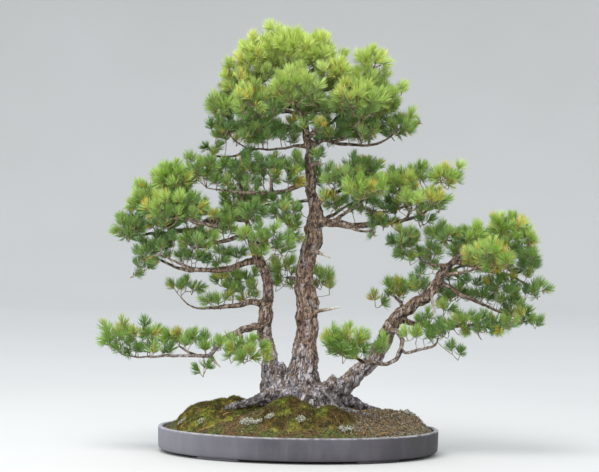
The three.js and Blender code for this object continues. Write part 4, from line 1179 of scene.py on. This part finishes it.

# %% [markdown]
# Moss is fresh on its tops, and its creases are painted dark as painted shade. Two marks on the mesh
# carry that: how high on its cushion a point lies, and how far it has browned. Noise at three sizes
# breaks both up.

# %% Moss finish
moss = Finish("cushion_moss", roughness=0.9)
freshness = moss.mark("freshness")
moss_fine = moss.speckle(3.5, 4).between(0.35, 0.65)
moss_patch = moss.speckle(45, 3).between(0.4, 0.58)
tufts = moss.speckle(11, 3).between(0.42, 0.6)
# Painted shade: these dark colours fill the creases between the cushions.
crease_shade = moss.mix(moss_fine, paint("1b1e09"), paint("3e4214"))
fresh = moss.mix(moss_patch, paint("a0ab3c"), paint("94802f"))
browned = moss.mark("browned")
crease_shade = moss.mix(browned, crease_shade, moss.mix(moss_fine, paint("1d150b"), paint("43331a")))
fresh = moss.mix(browned * 0.85, fresh, paint("6e5626"))
fresh_over_crease_shade = freshness * (tufts * 0.8 + moss_fine * 0.5)
moss.wear("Base Color", moss.mix(fresh_over_crease_shade, crease_shade, fresh))
moss.bump(moss.speckle(1.5, 5), 1.2, 0.8)
print("moss nodes:", len(moss.tree.nodes))

# %% [markdown]
# Each mat is then laid: a turned disc, stretched to its wandering outline and lifted to its cushions,
# with an underside that goes into the soil, so that the mat is closed. Each stands for one node.

# %% Laying the mats
MAT_RINGS = 44
MAT_SEGMENTS = 120
mat_tops = []
for mat in MOSS_MATS:
    chance = np.random.default_rng(abs(mat[1]) + abs(mat[2]))
    cushions = cushion_field(chance, mat)
    disc = [(k / MAT_RINGS, 1) for k in range(MAT_RINGS, 0, -1)]
    mat_points, mat_faces = turned([(0.001, 0), (1, 0), *disc, (0.001, 1)], MAT_SEGMENTS)
    angle = np.arctan2(mat_points[:, 1], mat_points[:, 0])
    wander = 1 + 0.1 * np.sin(3 * angle + mat[1])
    mat_x = mat[1] + mat_points[:, 0] * mat[3] * wander
    mat_y = mat[2] + mat_points[:, 1] * mat[4] * wander
    top = moss_top(mat_x, mat_y, mat, cushions)
    under = ground_height(mat_x, mat_y) - 6
    height = np.where(mat_points[:, 2] > 0.5, top, under)
    raised = np.clip((cushions(mat_x, mat_y) - 2) / 5, 0, 1)
    heap = Heap("freshness", "browned")
    brown = brownness(mat_x, mat_y, mat)
    heap.add(np.column_stack([mat_x, mat_y, height]), in_triangles(mat_faces), [raised, brown])
    add_blades(heap, chance, BLADE_COUNT, mat, cushions)
    print(mat[0], add_piece(mat[0].replace("mat", "cushions"), heap, [moss], "moss", mat[0]))
    mat_tops.append((mat, cushions))

# %% [markdown]
# Pale lichens grow among the moss in tufts of little lobes. Each tuft is a crowd of the grit's small
# lumps, on whatever is higher there, the soil or a mat. Each row gives a tuft's place and its spread.

# %% Lichens
LICHENS = [
    [-100, -122, 14], [-80, -128, 11], [-56, -126, 9], [-228, -62, 8], [4, -146, 9], [86, -146, 9],
    [100, -142, 7], [222, 6, 10], [236, 20, 8], [208, 18, 6], [-190, -96, 6], [60, 120, 10],
    [-60, 130, 9],
]


def litter_surface(x, y):
    """The height of whatever lies on top at each place."""
    height = soil_surface(x, y)
    for mat, cushions in mat_tops:
        top = np.where(mat_outline_size(x, y, mat) < 1, moss_top(x, y, mat, cushions), 0)
        height = np.maximum(height, top)
    return height


litter = Heap("litter_tone")
chance = np.random.default_rng(17)
for lichen_x, lichen_y, spread in LICHENS:
    count = round(spread**2)
    turn = chance.uniform(0, 2 * math.pi, count)
    out = spread * np.sqrt(chance.uniform(0, 1, count))
    x = lichen_x + out * np.cos(turn)
    y = lichen_y + 0.8 * out * np.sin(turn)
    places = np.column_stack([x, y, litter_surface(x, y) + chance.uniform(0.5, 5, count)])
    sizes = chance.uniform(0.9, 2.4, (count, 3))
    lobes, lobe_faces = copies(GRAIN_CORNERS, GRAIN_FACES, places, sizes, turn)
    litter.add(lobes, lobe_faces, [np.repeat(chance.uniform(0, 1, count), len(GRAIN_CORNERS))])
print("lichen tufts:", len(LICHENS))

# %% [markdown]
# Dry needles and bits of twig have fallen over everything. A fallen needle is a sliver of two
# triangles that rests with each end on the surface. One whose end would reach the rim is left out.
# Each row of the twigs gives a place and a length.

# %% Fallen needles and twigs
FALLEN_NEEDLES = 1500
FALLEN_TWIGS = [[112, -30, 18], [126, -24, 24], [136, -36, 16], [164, -138, 20], [-140, -84, 16],
                [120, 60, 22]]
needle_x, needle_y = scatter(chance, FALLEN_NEEDLES, lambda x, y: 1 - 0.75 * mossiness(x, y))
turn = chance.uniform(0, 2 * math.pi, len(needle_x))
along = np.column_stack([np.cos(turn), np.sin(turn)]) * chance.uniform(8, 15, (len(needle_x), 1))
ends = []
for way in (-1, 1):
    x, y = needle_x + way * along[:, 0], needle_y + way * along[:, 1]
    inside = np.hypot(x / SOIL_HALF_LENGTH, y / SOIL_HALF_WIDTH) < 0.96
    height = litter_surface(x, y) + chance.uniform(0.8, 3, len(x))
    ends.append((np.column_stack([x, y, height]), inside))
lying = ends[0][1] & ends[1][1]
start, end = ends[0][0][lying], ends[1][0][lying]
side = np.cross(unit(end - start), [0, 0, 1]) * 0.65
corners = np.stack([start - side, start + side, end - side * 0.4, end + side * 0.4], axis=1)
faces = np.array([[0, 2, 1], [1, 2, 3]]) + 4 * np.arange(len(start))[:, None, None]
needle_tones = np.repeat(chance.uniform(0, 1, len(start)), 4)
litter.add(corners.reshape(-1, 3), faces.reshape(-1, 3), [needle_tones], 1)
for x, y, length in FALLEN_TWIGS:
    turn = chance.uniform(-0.6, 0.6)
    way = np.array([math.cos(turn), math.sin(turn), 0.25]) * length / 2
    place = np.array([x, y, litter_surface(np.array([x]), np.array([y]))[0] + 3], float)
    twig_line = np.array([place - way, place + 0.1 * way + [0, 0, 2], place + way])
    twig_points, twig_faces = bar(twig_line, np.array([1.8, 1.4, 0.9]), 6)
    litter.add(twig_points, twig_faces, [0.9], 1)
print("fallen needles:", len(start), "and twigs:", len(FALLEN_TWIGS))

# %% [markdown]
# Lichen is chalky, between grey and cream, and what has fallen is the colour of straw. Both get their
# tone from a mark drawn for each lobe and needle, because even colour makes litter look painted on.

# %% Litter finishes
lichen = Finish("pale_lichen", roughness=0.95)
lobe_tone = lichen.mix(lichen.mark("litter_tone"), paint("8e8b78"), paint("d9d6c4"))
lichen.wear("Base Color", lichen.mix(lichen.speckle(1.5, 3) * 0.6, lobe_tone, paint("5d5f4c")))
lichen.bump(lichen.speckle(0.8, 4), 0.4, 0.8)
dry = Finish("dry_needles", roughness=0.8)
dry_tone = dry.mix(dry.mark("litter_tone"), paint("6b4c2c"), paint("b08a54"))
dry.wear("Base Color", dry.mix(dry.speckle(3, 3) * 0.5, dry_tone, paint("4b3826")))
print("litter:", add_piece("lichens_and_litter", litter, [lichen, dry], "moss"), "triangles")

# %% [markdown]
# ## Needles
# White pine needles stand in bundles of five, 25 to 40 mm long on a trained tree, crowded at the ends
# of the shoots, so a shoot looks like a small brush. Shoots run together into pads, one for each list
# below: a middle, half sizes, and extra tips that stand out of the pad. The CAD has the same pads with
# far fewer needles.

# %% Pads
PADS = [
    ["crown_top", [-12, 5, 812], [38, 34, 12], [[-66, -5, 824]]],
    ["crown_top_right", [52, 10, 796], [26, 30, 14]],
    ["crown_top_left", [-112, 0, 786], [28, 30, 16]],
    ["crown_left_shoulder", [-144, 10, 738], [22, 36, 16]],
    ["crown_left_tip", [-168, -8, 692], [16, 34, 18]],
    ["crown_left_front", [-102, -91, 706], [36, 26, 22]],
    ["crown_left_back", [-98, 107, 714], [38, 26, 22]],
    ["crown_front", [-20, -104, 728], [40, 24, 28], [[30, -91, 652]]],
    ["crown_right_top", [138, 0, 784], [24, 26, 12]],
    ["crown_right_front", [104, -91, 708], [40, 26, 26]],
    ["crown_right", [162, 29, 716], [24, 32, 16], [[214, -8, 684]]],
    ["crown_back", [0, 120, 728], [44, 26, 30]],
    ["crown_right_back", [94, 109, 708], [38, 24, 20]],
    ["left_tip", [-348, -8, 440], [18, 30, 14]],
    ["left_upper", [-322, 6, 498], [18, 32, 16]],
    ["left_shoulder", [-282, 12, 546], [24, 32, 14]],
    ["left_top", [-224, -8, 552], [24, 28, 12]],
    ["left_riser", [-186, 26, 604], [18, 10, 6]],
    ["left_front", [-254, -99, 484], [40, 26, 22]],
    ["left_back", [-250, 120, 492], [40, 26, 22]],
    ["left_low", [-304, -31, 394], [20, 28, 20]],
    ["left_low_front", [-214, -65, 420], [32, 26, 12]],
    ["left_inner_top", [-142, -10, 560], [30, 28, 12]],
    ["left_inner", [-62, -47, 562], [26, 22, 14]],
    ["left_inner_front", [-70, -75, 426], [38, 18, 12]],
    ["left_middle", [-40, -49, 476], [20, 16, 10]],
    ["left_inner_back", [-122, 114, 498], [34, 24, 20]],
    ["left_hanger", [-218, 10, 322], [56, 18, 12]],
    ["behind_trunks", [-36, 109, 360], [24, 18, 14]],
    ["right_inner", [72, -36, 550], [22, 24, 14]],
    ["right_inner_top", [126, 10, 576], [28, 28, 14]],
    ["right_front", [120, -91, 526], [34, 22, 14], [[146, -14, 452]]],
    ["right_back", [128, 101, 530], [34, 24, 16]],
    ["right_middle", [196, 10, 548], [28, 32, 14]],
    ["right_tip", [290, 4, 562], [24, 28, 12]],
    ["right_low", [250, -47, 510], [44, 30, 12]],
    ["lower_left_wing", [206, -6, 436], [22, 24, 10]],
    ["lower_shoulder", [286, -21, 442], [26, 28, 14]],
    ["lower_top", [348, 4, 444], [22, 28, 12]],
    ["lower_peak", [404, 6, 462], [24, 28, 12], [[446, 0, 446]]],
    ["lower_right", [454, 4, 388], [16, 30, 24], [[478, -4, 346]]],
    ["lower_front", [364, -104, 396], [40, 24, 20]],
    ["lower_back", [354, 114, 400], [40, 24, 20]],
    ["lower_skirt_tip", [450, -6, 282], [18, 20, 8]],
    ["lower_skirt", [352, -36, 274], [54, 22, 12]],
    ["lower_skirt_inner", [284, -12, 258], [20, 18, 8], [[318, -23, 212]]],
    ["behind_right_trunk", [186, 107, 330], [32, 20, 14]],
    ["low_left_tip", [-364, -26, 228], [20, 24, 14]],
    ["low_left_middle", [-300, -32, 236], [24, 24, 12]],
    ["low_left_inner", [-226, -39, 226], [30, 24, 12], [[-202, -47, 166]]],
    ["low_left_front", [-102, -88, 214], [40, 22, 14]],
    ["right_dome", [94, -112, 230], [36, 26, 16], [[168, -91, 216]]],
]
print("pads:", len(PADS))

# %% [markdown]
# From a step away the pads run together into larger masses, with hollows between them through which
# the branches show. Each mass below is the outside of such a cloud of needles: its middle and its
# half sizes, needles included. They were set region by region, and each took a few tries. The
# crown's come first: its round head, its shoulders and the two tips at its sides.

# %% Masses of the crown
CROWN_MASSES = [
    [[-27, 4, 802], [85, 85, 49]], [[-70, -4, 844], [14, 14, 20]], [[-98, 0, 794], [47, 72, 44]],
    [[-143, 0, 774], [26, 40, 22]], [[24, 8, 800], [44, 70, 44]], [[132, 2, 790], [44, 48, 30]],
    [[156, 4, 744], [26, 36, 24]], [[90, 4, 748], [66, 75, 36]], [[-80, -20, 754], [34, 56, 30]],
    [[22, -16, 690], [44, 56, 32]], [[60, -40, 760], [44, 50, 30]], [[-128, 4, 734], [43, 85, 44]],
    [[-158, -4, 692], [42, 80, 36]], [[-92, -78, 696], [64, 48, 46]], [[-92, 92, 700], [62, 48, 44]],
    [[-14, -88, 722], [66, 48, 48]], [[0, 104, 722], [66, 48, 48]], [[102, -76, 702], [64, 52, 46]],
    [[96, 92, 700], [62, 48, 42]], [[152, 14, 704], [52, 78, 44]], [[214, -6, 668], [28, 26, 20]],
    [[188, 4, 730], [25, 30, 22]], [[24, -78, 654], [34, 30, 24]], [[-160, 0, 648], [44, 60, 30]],
    [[-96, -30, 640], [56, 56, 34]], [[-84, 44, 648], [54, 50, 30]], [[-34, -18, 642], [38, 40, 36]],
    [[52, 6, 642], [40, 50, 36]], [[112, -22, 650], [54, 54, 32]], [[118, 44, 652], [54, 50, 30]],
    [[180, 2, 660], [48, 54, 32]],
]
print("masses of the crown:", len(CROWN_MASSES))

# %% [markdown]
# On the left the foliage hangs in one broad cloud of layers over the left trunk. Thin masses under it
# are the needles that line the lower branches.

# %% Masses on the left
LEFT_MASSES = [
    [[-192, 22, 612], [40, 30, 22]], [[-342, -5, 446], [40, 56, 38]], [[-316, 5, 500], [40, 66, 42]],
    [[-262, 5, 544], [54, 72, 40]], [[-252, -66, 482], [70, 50, 42]], [[-250, 90, 490], [68, 58, 44]],
    [[-308, -20, 396], [36, 48, 40]], [[-276, -20, 420], [40, 44, 28]], [[-272, -14, 452], [52, 40, 20]],
    [[-156, -40, 440], [34, 34, 24]], [[-36, -34, 408], [32, 30, 23]], [[-140, -34, 402], [42, 34, 22]],
    [[-162, -40, 386], [44, 30, 18]], [[-84, -32, 402], [28, 30, 22]], [[-316, -24, 364], [22, 22, 24]],
    [[-212, -55, 424], [60, 46, 28]], [[-214, -30, 390], [70, 40, 22]], [[-196, -10, 566], [48, 55, 34]],
    [[-150, -20, 542], [60, 40, 21]], [[-84, -24, 546], [42, 36, 21]], [[-126, -10, 570], [60, 60, 34]],
    [[-64, -35, 570], [52, 48, 34]], [[-16, -12, 566], [30, 40, 46]], [[-52, -24, 508], [52, 34, 22]],
    [[-70, -76, 430], [62, 34, 32]], [[-18, -26, 456], [34, 36, 54]], [[-38, -46, 482], [36, 32, 26]],
    [[-124, 95, 502], [58, 48, 40]], [[-150, -60, 470], [46, 36, 26]], [[-96, -50, 476], [44, 36, 28]],
    [[-166, -42, 402], [30, 26, 18]], [[-242, 8, 331], [46, 34, 23]], [[-172, 8, 304], [46, 30, 22]],
    [[-136, 30, 326], [28, 30, 22]], [[-114, 30, 318], [28, 30, 20]], [[-146, 46, 346], [50, 40, 28]],
    [[-104, 46, 344], [30, 36, 28]], [[-38, 102, 356], [42, 36, 42]],
]
print("masses on the left:", len(LEFT_MASSES))

# %% [markdown]
# On the right there are two clouds with a clear gap between them, one on the main trunk's long branch
# and one on the slanting trunk. The last few fill the depth behind the trunks.

# %% Masses on the right
RIGHT_MASSES = [
    [[68, -30, 552], [42, 45, 32]], [[30, 10, 556], [20, 26, 38]], [[118, 5, 568], [50, 58, 32]],
    [[122, -74, 534], [56, 42, 32]], [[128, 86, 534], [54, 46, 32]], [[194, 6, 544], [50, 62, 34]],
    [[232, 2, 566], [30, 36, 26]], [[280, 4, 558], [42, 52, 30]], [[316, 2, 578], [14, 16, 16]],
    [[244, -36, 510], [62, 50, 32]], [[60, -12, 504], [42, 42, 28]], [[122, -6, 498], [50, 50, 26]],
    [[180, 0, 496], [46, 46, 28]], [[166, 2, 470], [40, 38, 20]], [[240, -8, 470], [36, 34, 20]],
    [[145, -14, 448], [22, 22, 18]], [[34, -12, 596], [28, 28, 18]], [[210, -6, 432], [44, 46, 28]],
    [[184, -6, 428], [26, 28, 20]], [[212, -8, 404], [44, 42, 22]], [[252, 0, 406], [38, 42, 26]],
    [[252, 0, 374], [30, 30, 22]], [[238, 4, 342], [32, 30, 20]], [[330, 0, 352], [36, 34, 22]],
    [[286, -16, 442], [48, 55, 30]], [[346, 0, 442], [46, 55, 30]], [[410, 5, 460], [48, 52, 36]],
    [[450, 0, 440], [28, 45, 38]], [[452, 2, 394], [35, 58, 44]], [[404, -10, 428], [52, 40, 30]],
    [[402, -6, 386], [54, 40, 26]], [[340, -16, 424], [46, 40, 26]], [[365, -70, 400], [62, 46, 38]],
    [[355, 86, 402], [64, 50, 42]], [[466, -4, 336], [38, 40, 24]], [[428, -8, 290], [38, 42, 24]],
    [[448, -10, 276], [46, 38, 14]], [[355, -36, 264], [80, 48, 30]], [[286, -15, 256], [50, 40, 28]],
    [[246, -16, 274], [30, 30, 20]], [[222, -26, 244], [32, 28, 20]], [[262, -26, 238], [36, 30, 20]],
    [[316, -23, 214], [30, 24, 28]], [[400, 0, 346], [50, 56, 30]], [[306, 20, 326], [36, 40, 26]],
    [[360, 10, 322], [44, 46, 26]], [[414, -2, 318], [44, 44, 24]], [[296, 24, 354], [18, 22, 14]],
    [[288, -14, 300], [34, 34, 22]], [[202, 104, 330], [46, 42, 28]], [[154, 98, 306], [32, 26, 22]],
    [[42, 60, 350], [33, 30, 33]],
]
print("masses on the right:", len(RIGHT_MASSES))

# %% [markdown]
# The lowest branches carry a long flat pad at the left and a small dome at the right, in front of the
# trunks. Without them the base would look bare, and the tree much younger.

# %% Masses low down
LOW_MASSES = [
    [[-361, -26, 232], [47, 42, 36]], [[-304, -30, 238], [50, 42, 30]], [[-228, -38, 230], [50, 42, 28]],
    [[-310, -34, 208], [86, 36, 20]], [[-174, -44, 216], [34, 30, 26]], [[-108, -84, 208], [66, 42, 36]],
    [[-190, -46, 168], [30, 26, 28]], [[90, -108, 230], [58, 48, 40]], [[158, -92, 224], [34, 30, 22]],
]
MASSES = [*CROWN_MASSES, *LEFT_MASSES, *RIGHT_MASSES, *LOW_MASSES]
mass_middles = np.array([middle for middle, _ in MASSES], float)
mass_halves = np.array([half for _, half in MASSES], float)
print("masses:", len(MASSES), "reaching up to", (mass_middles + mass_halves)[:, 2].max(), "mm")

# %% [markdown]
# A brush is the tip of a shoot with its needles. Brushes are laid over the dome of each pad first, as
# evenly as the seeds of a sunflower, and then thrown at random into the masses. One that lands too
# close to another is taken back. A grid would be simpler, but its rows would show. Smooth random hills
# keep some hollows empty, so that wood shows through the needles.

# %% Places for the brushes
BRUSH_SPACING = 20
NEEDLE_REACH = 15
SMALLEST_CORE = 6
TRIES_PER_BRUSH = 30
HOLLOW_SIZE = 70
HOLLOW_BELOW = -0.95
GOLDEN = math.pi * (3 - math.sqrt(5))
UP = np.array([0, 0, 1.0])


def dome(chance, middle, half, count):
    """Places over a pad's dome, as even as the seeds of a sunflower."""
    i = np.arange(count)
    out = np.sqrt((i + 0.5) / count)
    angle = i * GOLDEN + chance.uniform(0, 6.28)
    flat = np.column_stack([np.cos(angle), np.sin(angle)]) * out[:, None]
    rise = half[2] * (1 - 1.3 * out**2)
    return np.column_stack([flat * half[:2], rise]) + middle


def inside_mass(chance, middle, half, count):
    """Random places in a mass, more of them near its skin."""
    direction = unit(chance.normal(size=(count, 3)))
    out = chance.uniform(0, 1, (count, 1)) ** 0.22
    return middle + direction * out * np.maximum(half - NEEDLE_REACH, SMALLEST_CORE)


chance = np.random.default_rng(29)
pad_middles = np.array([pad[1] for pad in PADS], float)
pad_halves = np.array([pad[2] for pad in PADS], float)
candidates = []
for name, middle, half, *extras in PADS:
    count = max(4, round(math.pi * half[0] * half[1] / BRUSH_SPACING**2))
    candidates.append(dome(chance, np.array(middle, float), 0.9 * np.array(half, float), count))
    candidates += [np.array([extra], float) for extra in (extras[0] if extras else [])]
for middle, half in zip(mass_middles, mass_halves):
    volume = 4.19 * np.prod(np.maximum(half - NEEDLE_REACH, SMALLEST_CORE))
    count = round(TRIES_PER_BRUSH * volume / BRUSH_SPACING**3) + 60
    candidates.append(inside_mass(chance, middle, half, count))
candidates = np.concatenate(candidates)
candidates += chance.normal(0, 3, candidates.shape)
candidates = candidates[lumps(candidates, HOLLOW_SIZE, 31) > HOLLOW_BELOW]
buds = np.zeros((len(candidates), 3))
count = 0
for place in candidates:
    if count == 0 or ((buds[:count] - place) ** 2).sum(axis=1).min() > BRUSH_SPACING**2:
        buds[count] = place
        count += 1
buds = buds[:count]
print("brushes:", len(buds))

# %% [markdown]
# Each brush aims outwards and upwards. The light that it gets depends on how many others hang over it
# and on how high it stands. Well lit ones grow full and are painted yellow-green as painted light, the
# shaded ones grow short and are painted dull green as painted shade. Counting the brushes overhead is
# much quicker than tracing light, and tells enough. A brush belongs to the pad whose middle is nearest,
# measured in that pad's own half sizes and a margin.

# %% Aim, light and home of each brush
PAD_MARGIN = 14
away = (buds[:, None] - mass_middles) / mass_halves
mass_of = np.linalg.norm(away, axis=2).argmin(axis=1)
outward = unit((buds - mass_middles[mass_of]) / mass_halves[mass_of] ** 2)
aims = unit(0.6 * outward + 0.75 * UP + chance.normal(0, 0.3, buds.shape))
gap = buds[None] - buds[:, None]
sideways = np.hypot(gap[..., 0], gap[..., 1])
overhead = (gap[..., 2] > 8) & (gap[..., 2] < 85) & (sideways < 10 + 0.95 * gap[..., 2])
# Painted light: this light is painted into the needles' colour, lighter with fewer brushes overhead and
# higher up.
light = np.exp(-overhead.sum(axis=1) / 20) * (0.6 + 0.55 * buds[:, 2] / 850)
light = np.clip(light + chance.normal(0, 0.14, len(buds)), 0, 1)
pad_distance = np.linalg.norm((buds[:, None] - pad_middles) / (pad_halves + PAD_MARGIN), axis=2)
home = pad_distance.argmin(axis=1)
fewest = np.bincount(home, minlength=len(PADS)).min()
print("fewest brushes in a pad:", fewest, "mean light:", round(float(light.mean()), 2))

# %% [markdown]
# Every brush hangs on wood. About a finger's width behind each bud lies a knot of the twig, and knots
# are joined one after another to the nearest branch or to a knot that already has its twig. A small
# price on the way already travelled keeps twigs from wandering, as in a real fan of branchlets. A
# twig's thickness follows the number of brushes that it feeds.

# %% Twigs
THRIFT = 0.45


def join_knots(knots, wood_places):
    """For each knot the place it comes from and its parent knot, or -1, with the number it feeds."""
    away = np.linalg.norm(knots[:, None] - wood_places[None], axis=2)
    source = wood_places[away.argmin(axis=1)].copy()
    cost = away.min(axis=1)
    step = cost.copy()
    parent = np.full(len(knots), -1)
    travelled = np.zeros(len(knots))
    waiting = np.ones(len(knots), bool)
    order = []
    for _ in range(len(knots)):
        k = int(np.where(waiting, cost, np.inf).argmin())
        waiting[k] = False
        order.append(k)
        travelled[k] = step[k] + (travelled[parent[k]] if parent[k] >= 0 else 0)
        gap = np.linalg.norm(knots - knots[k], axis=1)
        better = waiting & (gap + THRIFT * travelled[k] < cost)
        cost[better] = (gap + THRIFT * travelled[k])[better]
        step[better] = gap[better]
        parent[better] = k
        source[better] = knots[k]
    feeds = np.ones(len(knots))
    for k in reversed(order):
        if parent[k] >= 0:
            feeds[parent[k]] += feeds[k]
    return source, feeds


def add_twig(heap, chance, start, end, thick, thin):
    """A slim three-sided twig that sags a little between its ends."""
    length = np.linalg.norm(end - start)
    belly = (start + end) / 2 + chance.normal(0, 0.07, 3) * length - UP * 0.08 * length
    t = np.array([0, 0.4, 0.75, 1])[:, None]
    line = start * (1 - t) ** 2 + 2 * belly * t * (1 - t) + end * t**2
    points, triangles = bar(line, thick + (thin - thick) * t, 3)
    heap.add(points, triangles, [0, 0, 0], 1)


wood_lines = [smooth_line(route, 8)[0] for route in [*TRUNKS, *BRANCHES]]
wood_places = np.concatenate(wood_lines)
print("places on the wood that a twig may spring from:", len(wood_places))

# %% [markdown]
# A needle is a slim ribbon of three triangles that bends forward once and ends in a point. Ribbons at
# every angle catch the light like the faces of a real needle and cost little. The brushes of this tree
# are small, so its needles are 24 mm long, and they are a little wider than real ones, because there
# are fewer.

# %% Needles
NEEDLE_LENGTH = 24
NEEDLE_WIDTH = 1.05
BEND_AT = 0.55
AFTER_BEND = 0.45
NEEDLE_FACES = np.array([[0, 1, 3], [0, 3, 2], [2, 3, 4]])
NEEDLE_POINTS = 5


def ribbons(chance, foot, heading, ahead, length):
    """The points and triangles of one bent ribbon for each needle."""
    bend = foot + heading * length * BEND_AT
    tip = bend + unit(heading + 0.3 * ahead + 0.12 * UP) * length * AFTER_BEND
    flat = unit(np.cross(heading, chance.normal(size=heading.shape)))
    base_side = flat * NEEDLE_WIDTH * 0.35
    bend_side = flat * NEEDLE_WIDTH * 0.5
    corners = [foot - base_side, foot + base_side, bend - bend_side, bend + bend_side, tip]
    points = np.stack(corners, axis=1).reshape(-1, 3)
    offsets = NEEDLE_POINTS * np.arange(len(foot))[:, None, None]
    return points, (NEEDLE_FACES[None] + offsets).reshape(-1, 3)


print("triangles of a needle:", len(NEEDLE_FACES))

# %% [markdown]
# The bundles stand all round the shoot, wide low down and pointing ahead near the bud. All brushes of a
# pad are worked out at once, as arrays, because there are far too many needles for a loop. The shade
# among the needles low on the shoot goes into the painted light mark that each needle carries for its
# colour, as painted shade.

# %% Brushes
BUNDLES = 26
IN_A_BUNDLE = 5
SHOOT_LENGTH = 11
TILT_AT_BUD = 8
TILT_SPREAD = 60


def add_needles(heap, chance, buds, aims, light):
    """The needles of all brushes of a pad."""
    shape = (len(buds), BUNDLES)
    side = unit(np.cross(aims, chance.normal(size=aims.shape)))
    other = np.cross(aims, side)
    turn = chance.uniform(0, 2 * math.pi, shape)[..., None]
    low_on_shoot = chance.uniform(0, 1, shape)
    tilt = TILT_AT_BUD + TILT_SPREAD * low_on_shoot**0.9 + chance.normal(0, 5, shape)
    tilt = np.radians(tilt)[..., None]
    around = np.cos(turn) * side[:, None] + np.sin(turn) * other[:, None]
    aim = np.broadcast_to(aims[:, None], around.shape)
    bundle_heading = np.cos(tilt) * aim + np.sin(tilt) * around
    bundle_length = NEEDLE_LENGTH * chance.uniform(0.8, 1.1, shape) * (0.82 + 0.18 * light[:, None])
    bundle_foot = buds[:, None] - aim * (SHOOT_LENGTH * low_on_shoot[..., None]) + around * 0.8

    heading = np.repeat(bundle_heading.reshape(-1, 3), IN_A_BUNDLE, axis=0)
    heading = unit(heading + chance.normal(0, 0.16, heading.shape))
    foot = np.repeat(bundle_foot.reshape(-1, 3), IN_A_BUNDLE, axis=0)
    ahead = np.repeat(aim.reshape(-1, 3), IN_A_BUNDLE, axis=0)
    count = len(heading)
    length = np.repeat(bundle_length.ravel(), IN_A_BUNDLE)[:, None]
    length = length * chance.uniform(0.9, 1.06, (count, 1))
    points, triangles = ribbons(chance, foot, heading, ahead, length)
    reach = np.tile([0, 0, BEND_AT, BEND_AT, 1], count)
    needles_each = BUNDLES * IN_A_BUNDLE
    shade = 0.42 * np.repeat(low_on_shoot.ravel(), IN_A_BUNDLE)
    glow = np.repeat(light, needles_each) + chance.normal(0.12, 0.12, count) - shade
    brush_tone = np.repeat(chance.uniform(0, 1, len(buds)), BUNDLES)
    bundle_tone = np.repeat(brush_tone + chance.normal(0, 0.2, len(brush_tone)), IN_A_BUNDLE)
    glow, tone = (np.repeat(value, NEEDLE_POINTS) for value in (glow, bundle_tone))
    heap.add(points, triangles, [reach, glow, tone])


print("needles a brush:", BUNDLES * IN_A_BUNDLE)

# %% [markdown]
# A needle is brownish at its sheath and green beyond. On one side it has a bluish bloom, for which
# small patches of noise stand in. Marks on the mesh tell the finish how far along the needle a point
# lies, how much light its brush gets, painted lighter and yellower where lit and darker where shaded,
# and what tone the brush and its bundle have drawn. The crown is painted lighter and yellower than the
# low pads, as painted light from above, and a few bundles turn gold, as old needles do before they fall.

# %% Needle and twig finishes
needle = Finish("white_pine_needles", roughness=0.42)
reach, glow, tone = (needle.mark(name) for name in ("reach", "glow", "tone"))
# Painted light: a shaded and a lit copy of the needle green, mixed by the painted light mark; outer is
# the lit copy.
shaded_needle_green = needle.mix(tone.between(0, 1), paint("5c8040"), paint("7da454"))
outer = needle.mix(tone.between(0, 1), paint("96b942"), paint("c6de74"))
leaf = needle.mix(glow.between(0.1, 0.9), shaded_needle_green, outer)
leaf = needle.mix(tone.between(0.93, 1.12), leaf, paint("e0c24a"))
leaf = needle.mix((1 - reach.between(0, 0.45)) * 0.45, leaf, paint("a58a35"))
# Painted light: needles high in the tree are painted lighter and yellower, and low ones darker, as lit
# from above.
above = needle.add("ShaderNodeSeparateXYZ", {}, {0: needle.place()}, output=2)
leaf = needle.mix(above.between(0.66, 0.84) * 0.7, leaf, paint("d8e47a"))
leaf = needle.mix((1 - above.between(0.2, 0.42)) * 0.3, leaf, paint("6c9a38"))
bluish = needle.speckle(3, 1).between(0.56, 0.68)
leaf = needle.mix(bluish * 0.4, leaf, paint("b6c8b0"))
needle.wear("Base Color", leaf)
needle.wear("Roughness", reach * 0.1 + 0.38)

twig_bark = Finish("twig_bark", roughness=0.8)
twig_grain = twig_bark.speckle(4, 3).between(0.35, 0.65)
twig_bark.wear("Base Color", twig_bark.mix(twig_grain, paint("806a54"), paint("b4a187")))
twig_bark.bump(twig_bark.speckle(1.2, 3), 0.3, 0.5)
print("needle nodes:", len(needle.tree.nodes))

# %% [markdown]
# Each pad is grown in turn and stands for one spray of the packed model. It gets the needles of its
# own brushes, a knot behind each bud, and the twigs that join the knots to the wood. Every pad draws
# its needles from its own seed, so growing one in another way leaves the others as they are.

# %% Growing the pads
KNOT_BEHIND = (13, 22)
total = 0
for number, (name, *_) in enumerate(PADS):
    chance = np.random.default_rng(100 + number)
    mine = home == number
    heap = Heap("reach", "glow", "tone")
    add_needles(heap, chance, buds[mine], aims[mine], light[mine])
    knots = buds[mine] - aims[mine] * chance.uniform(*KNOT_BEHIND, (mine.sum(), 1)) - UP * 3
    source, feeds = join_knots(knots, wood_places)
    for bud, knot, start, load in zip(buds[mine], knots, source, feeds):
        thick = 0.75 * load**0.36
        add_twig(heap, chance, start, knot, thick, max(0.8, thick * 0.85))
        add_twig(heap, chance, knot, bud, 0.95, 0.9)
    total += add_piece(f"needles_{name}", heap, [needle, twig_bark], "needles", f"spray_{name}")
print("foliage:", total, "triangles")

# %% [markdown]
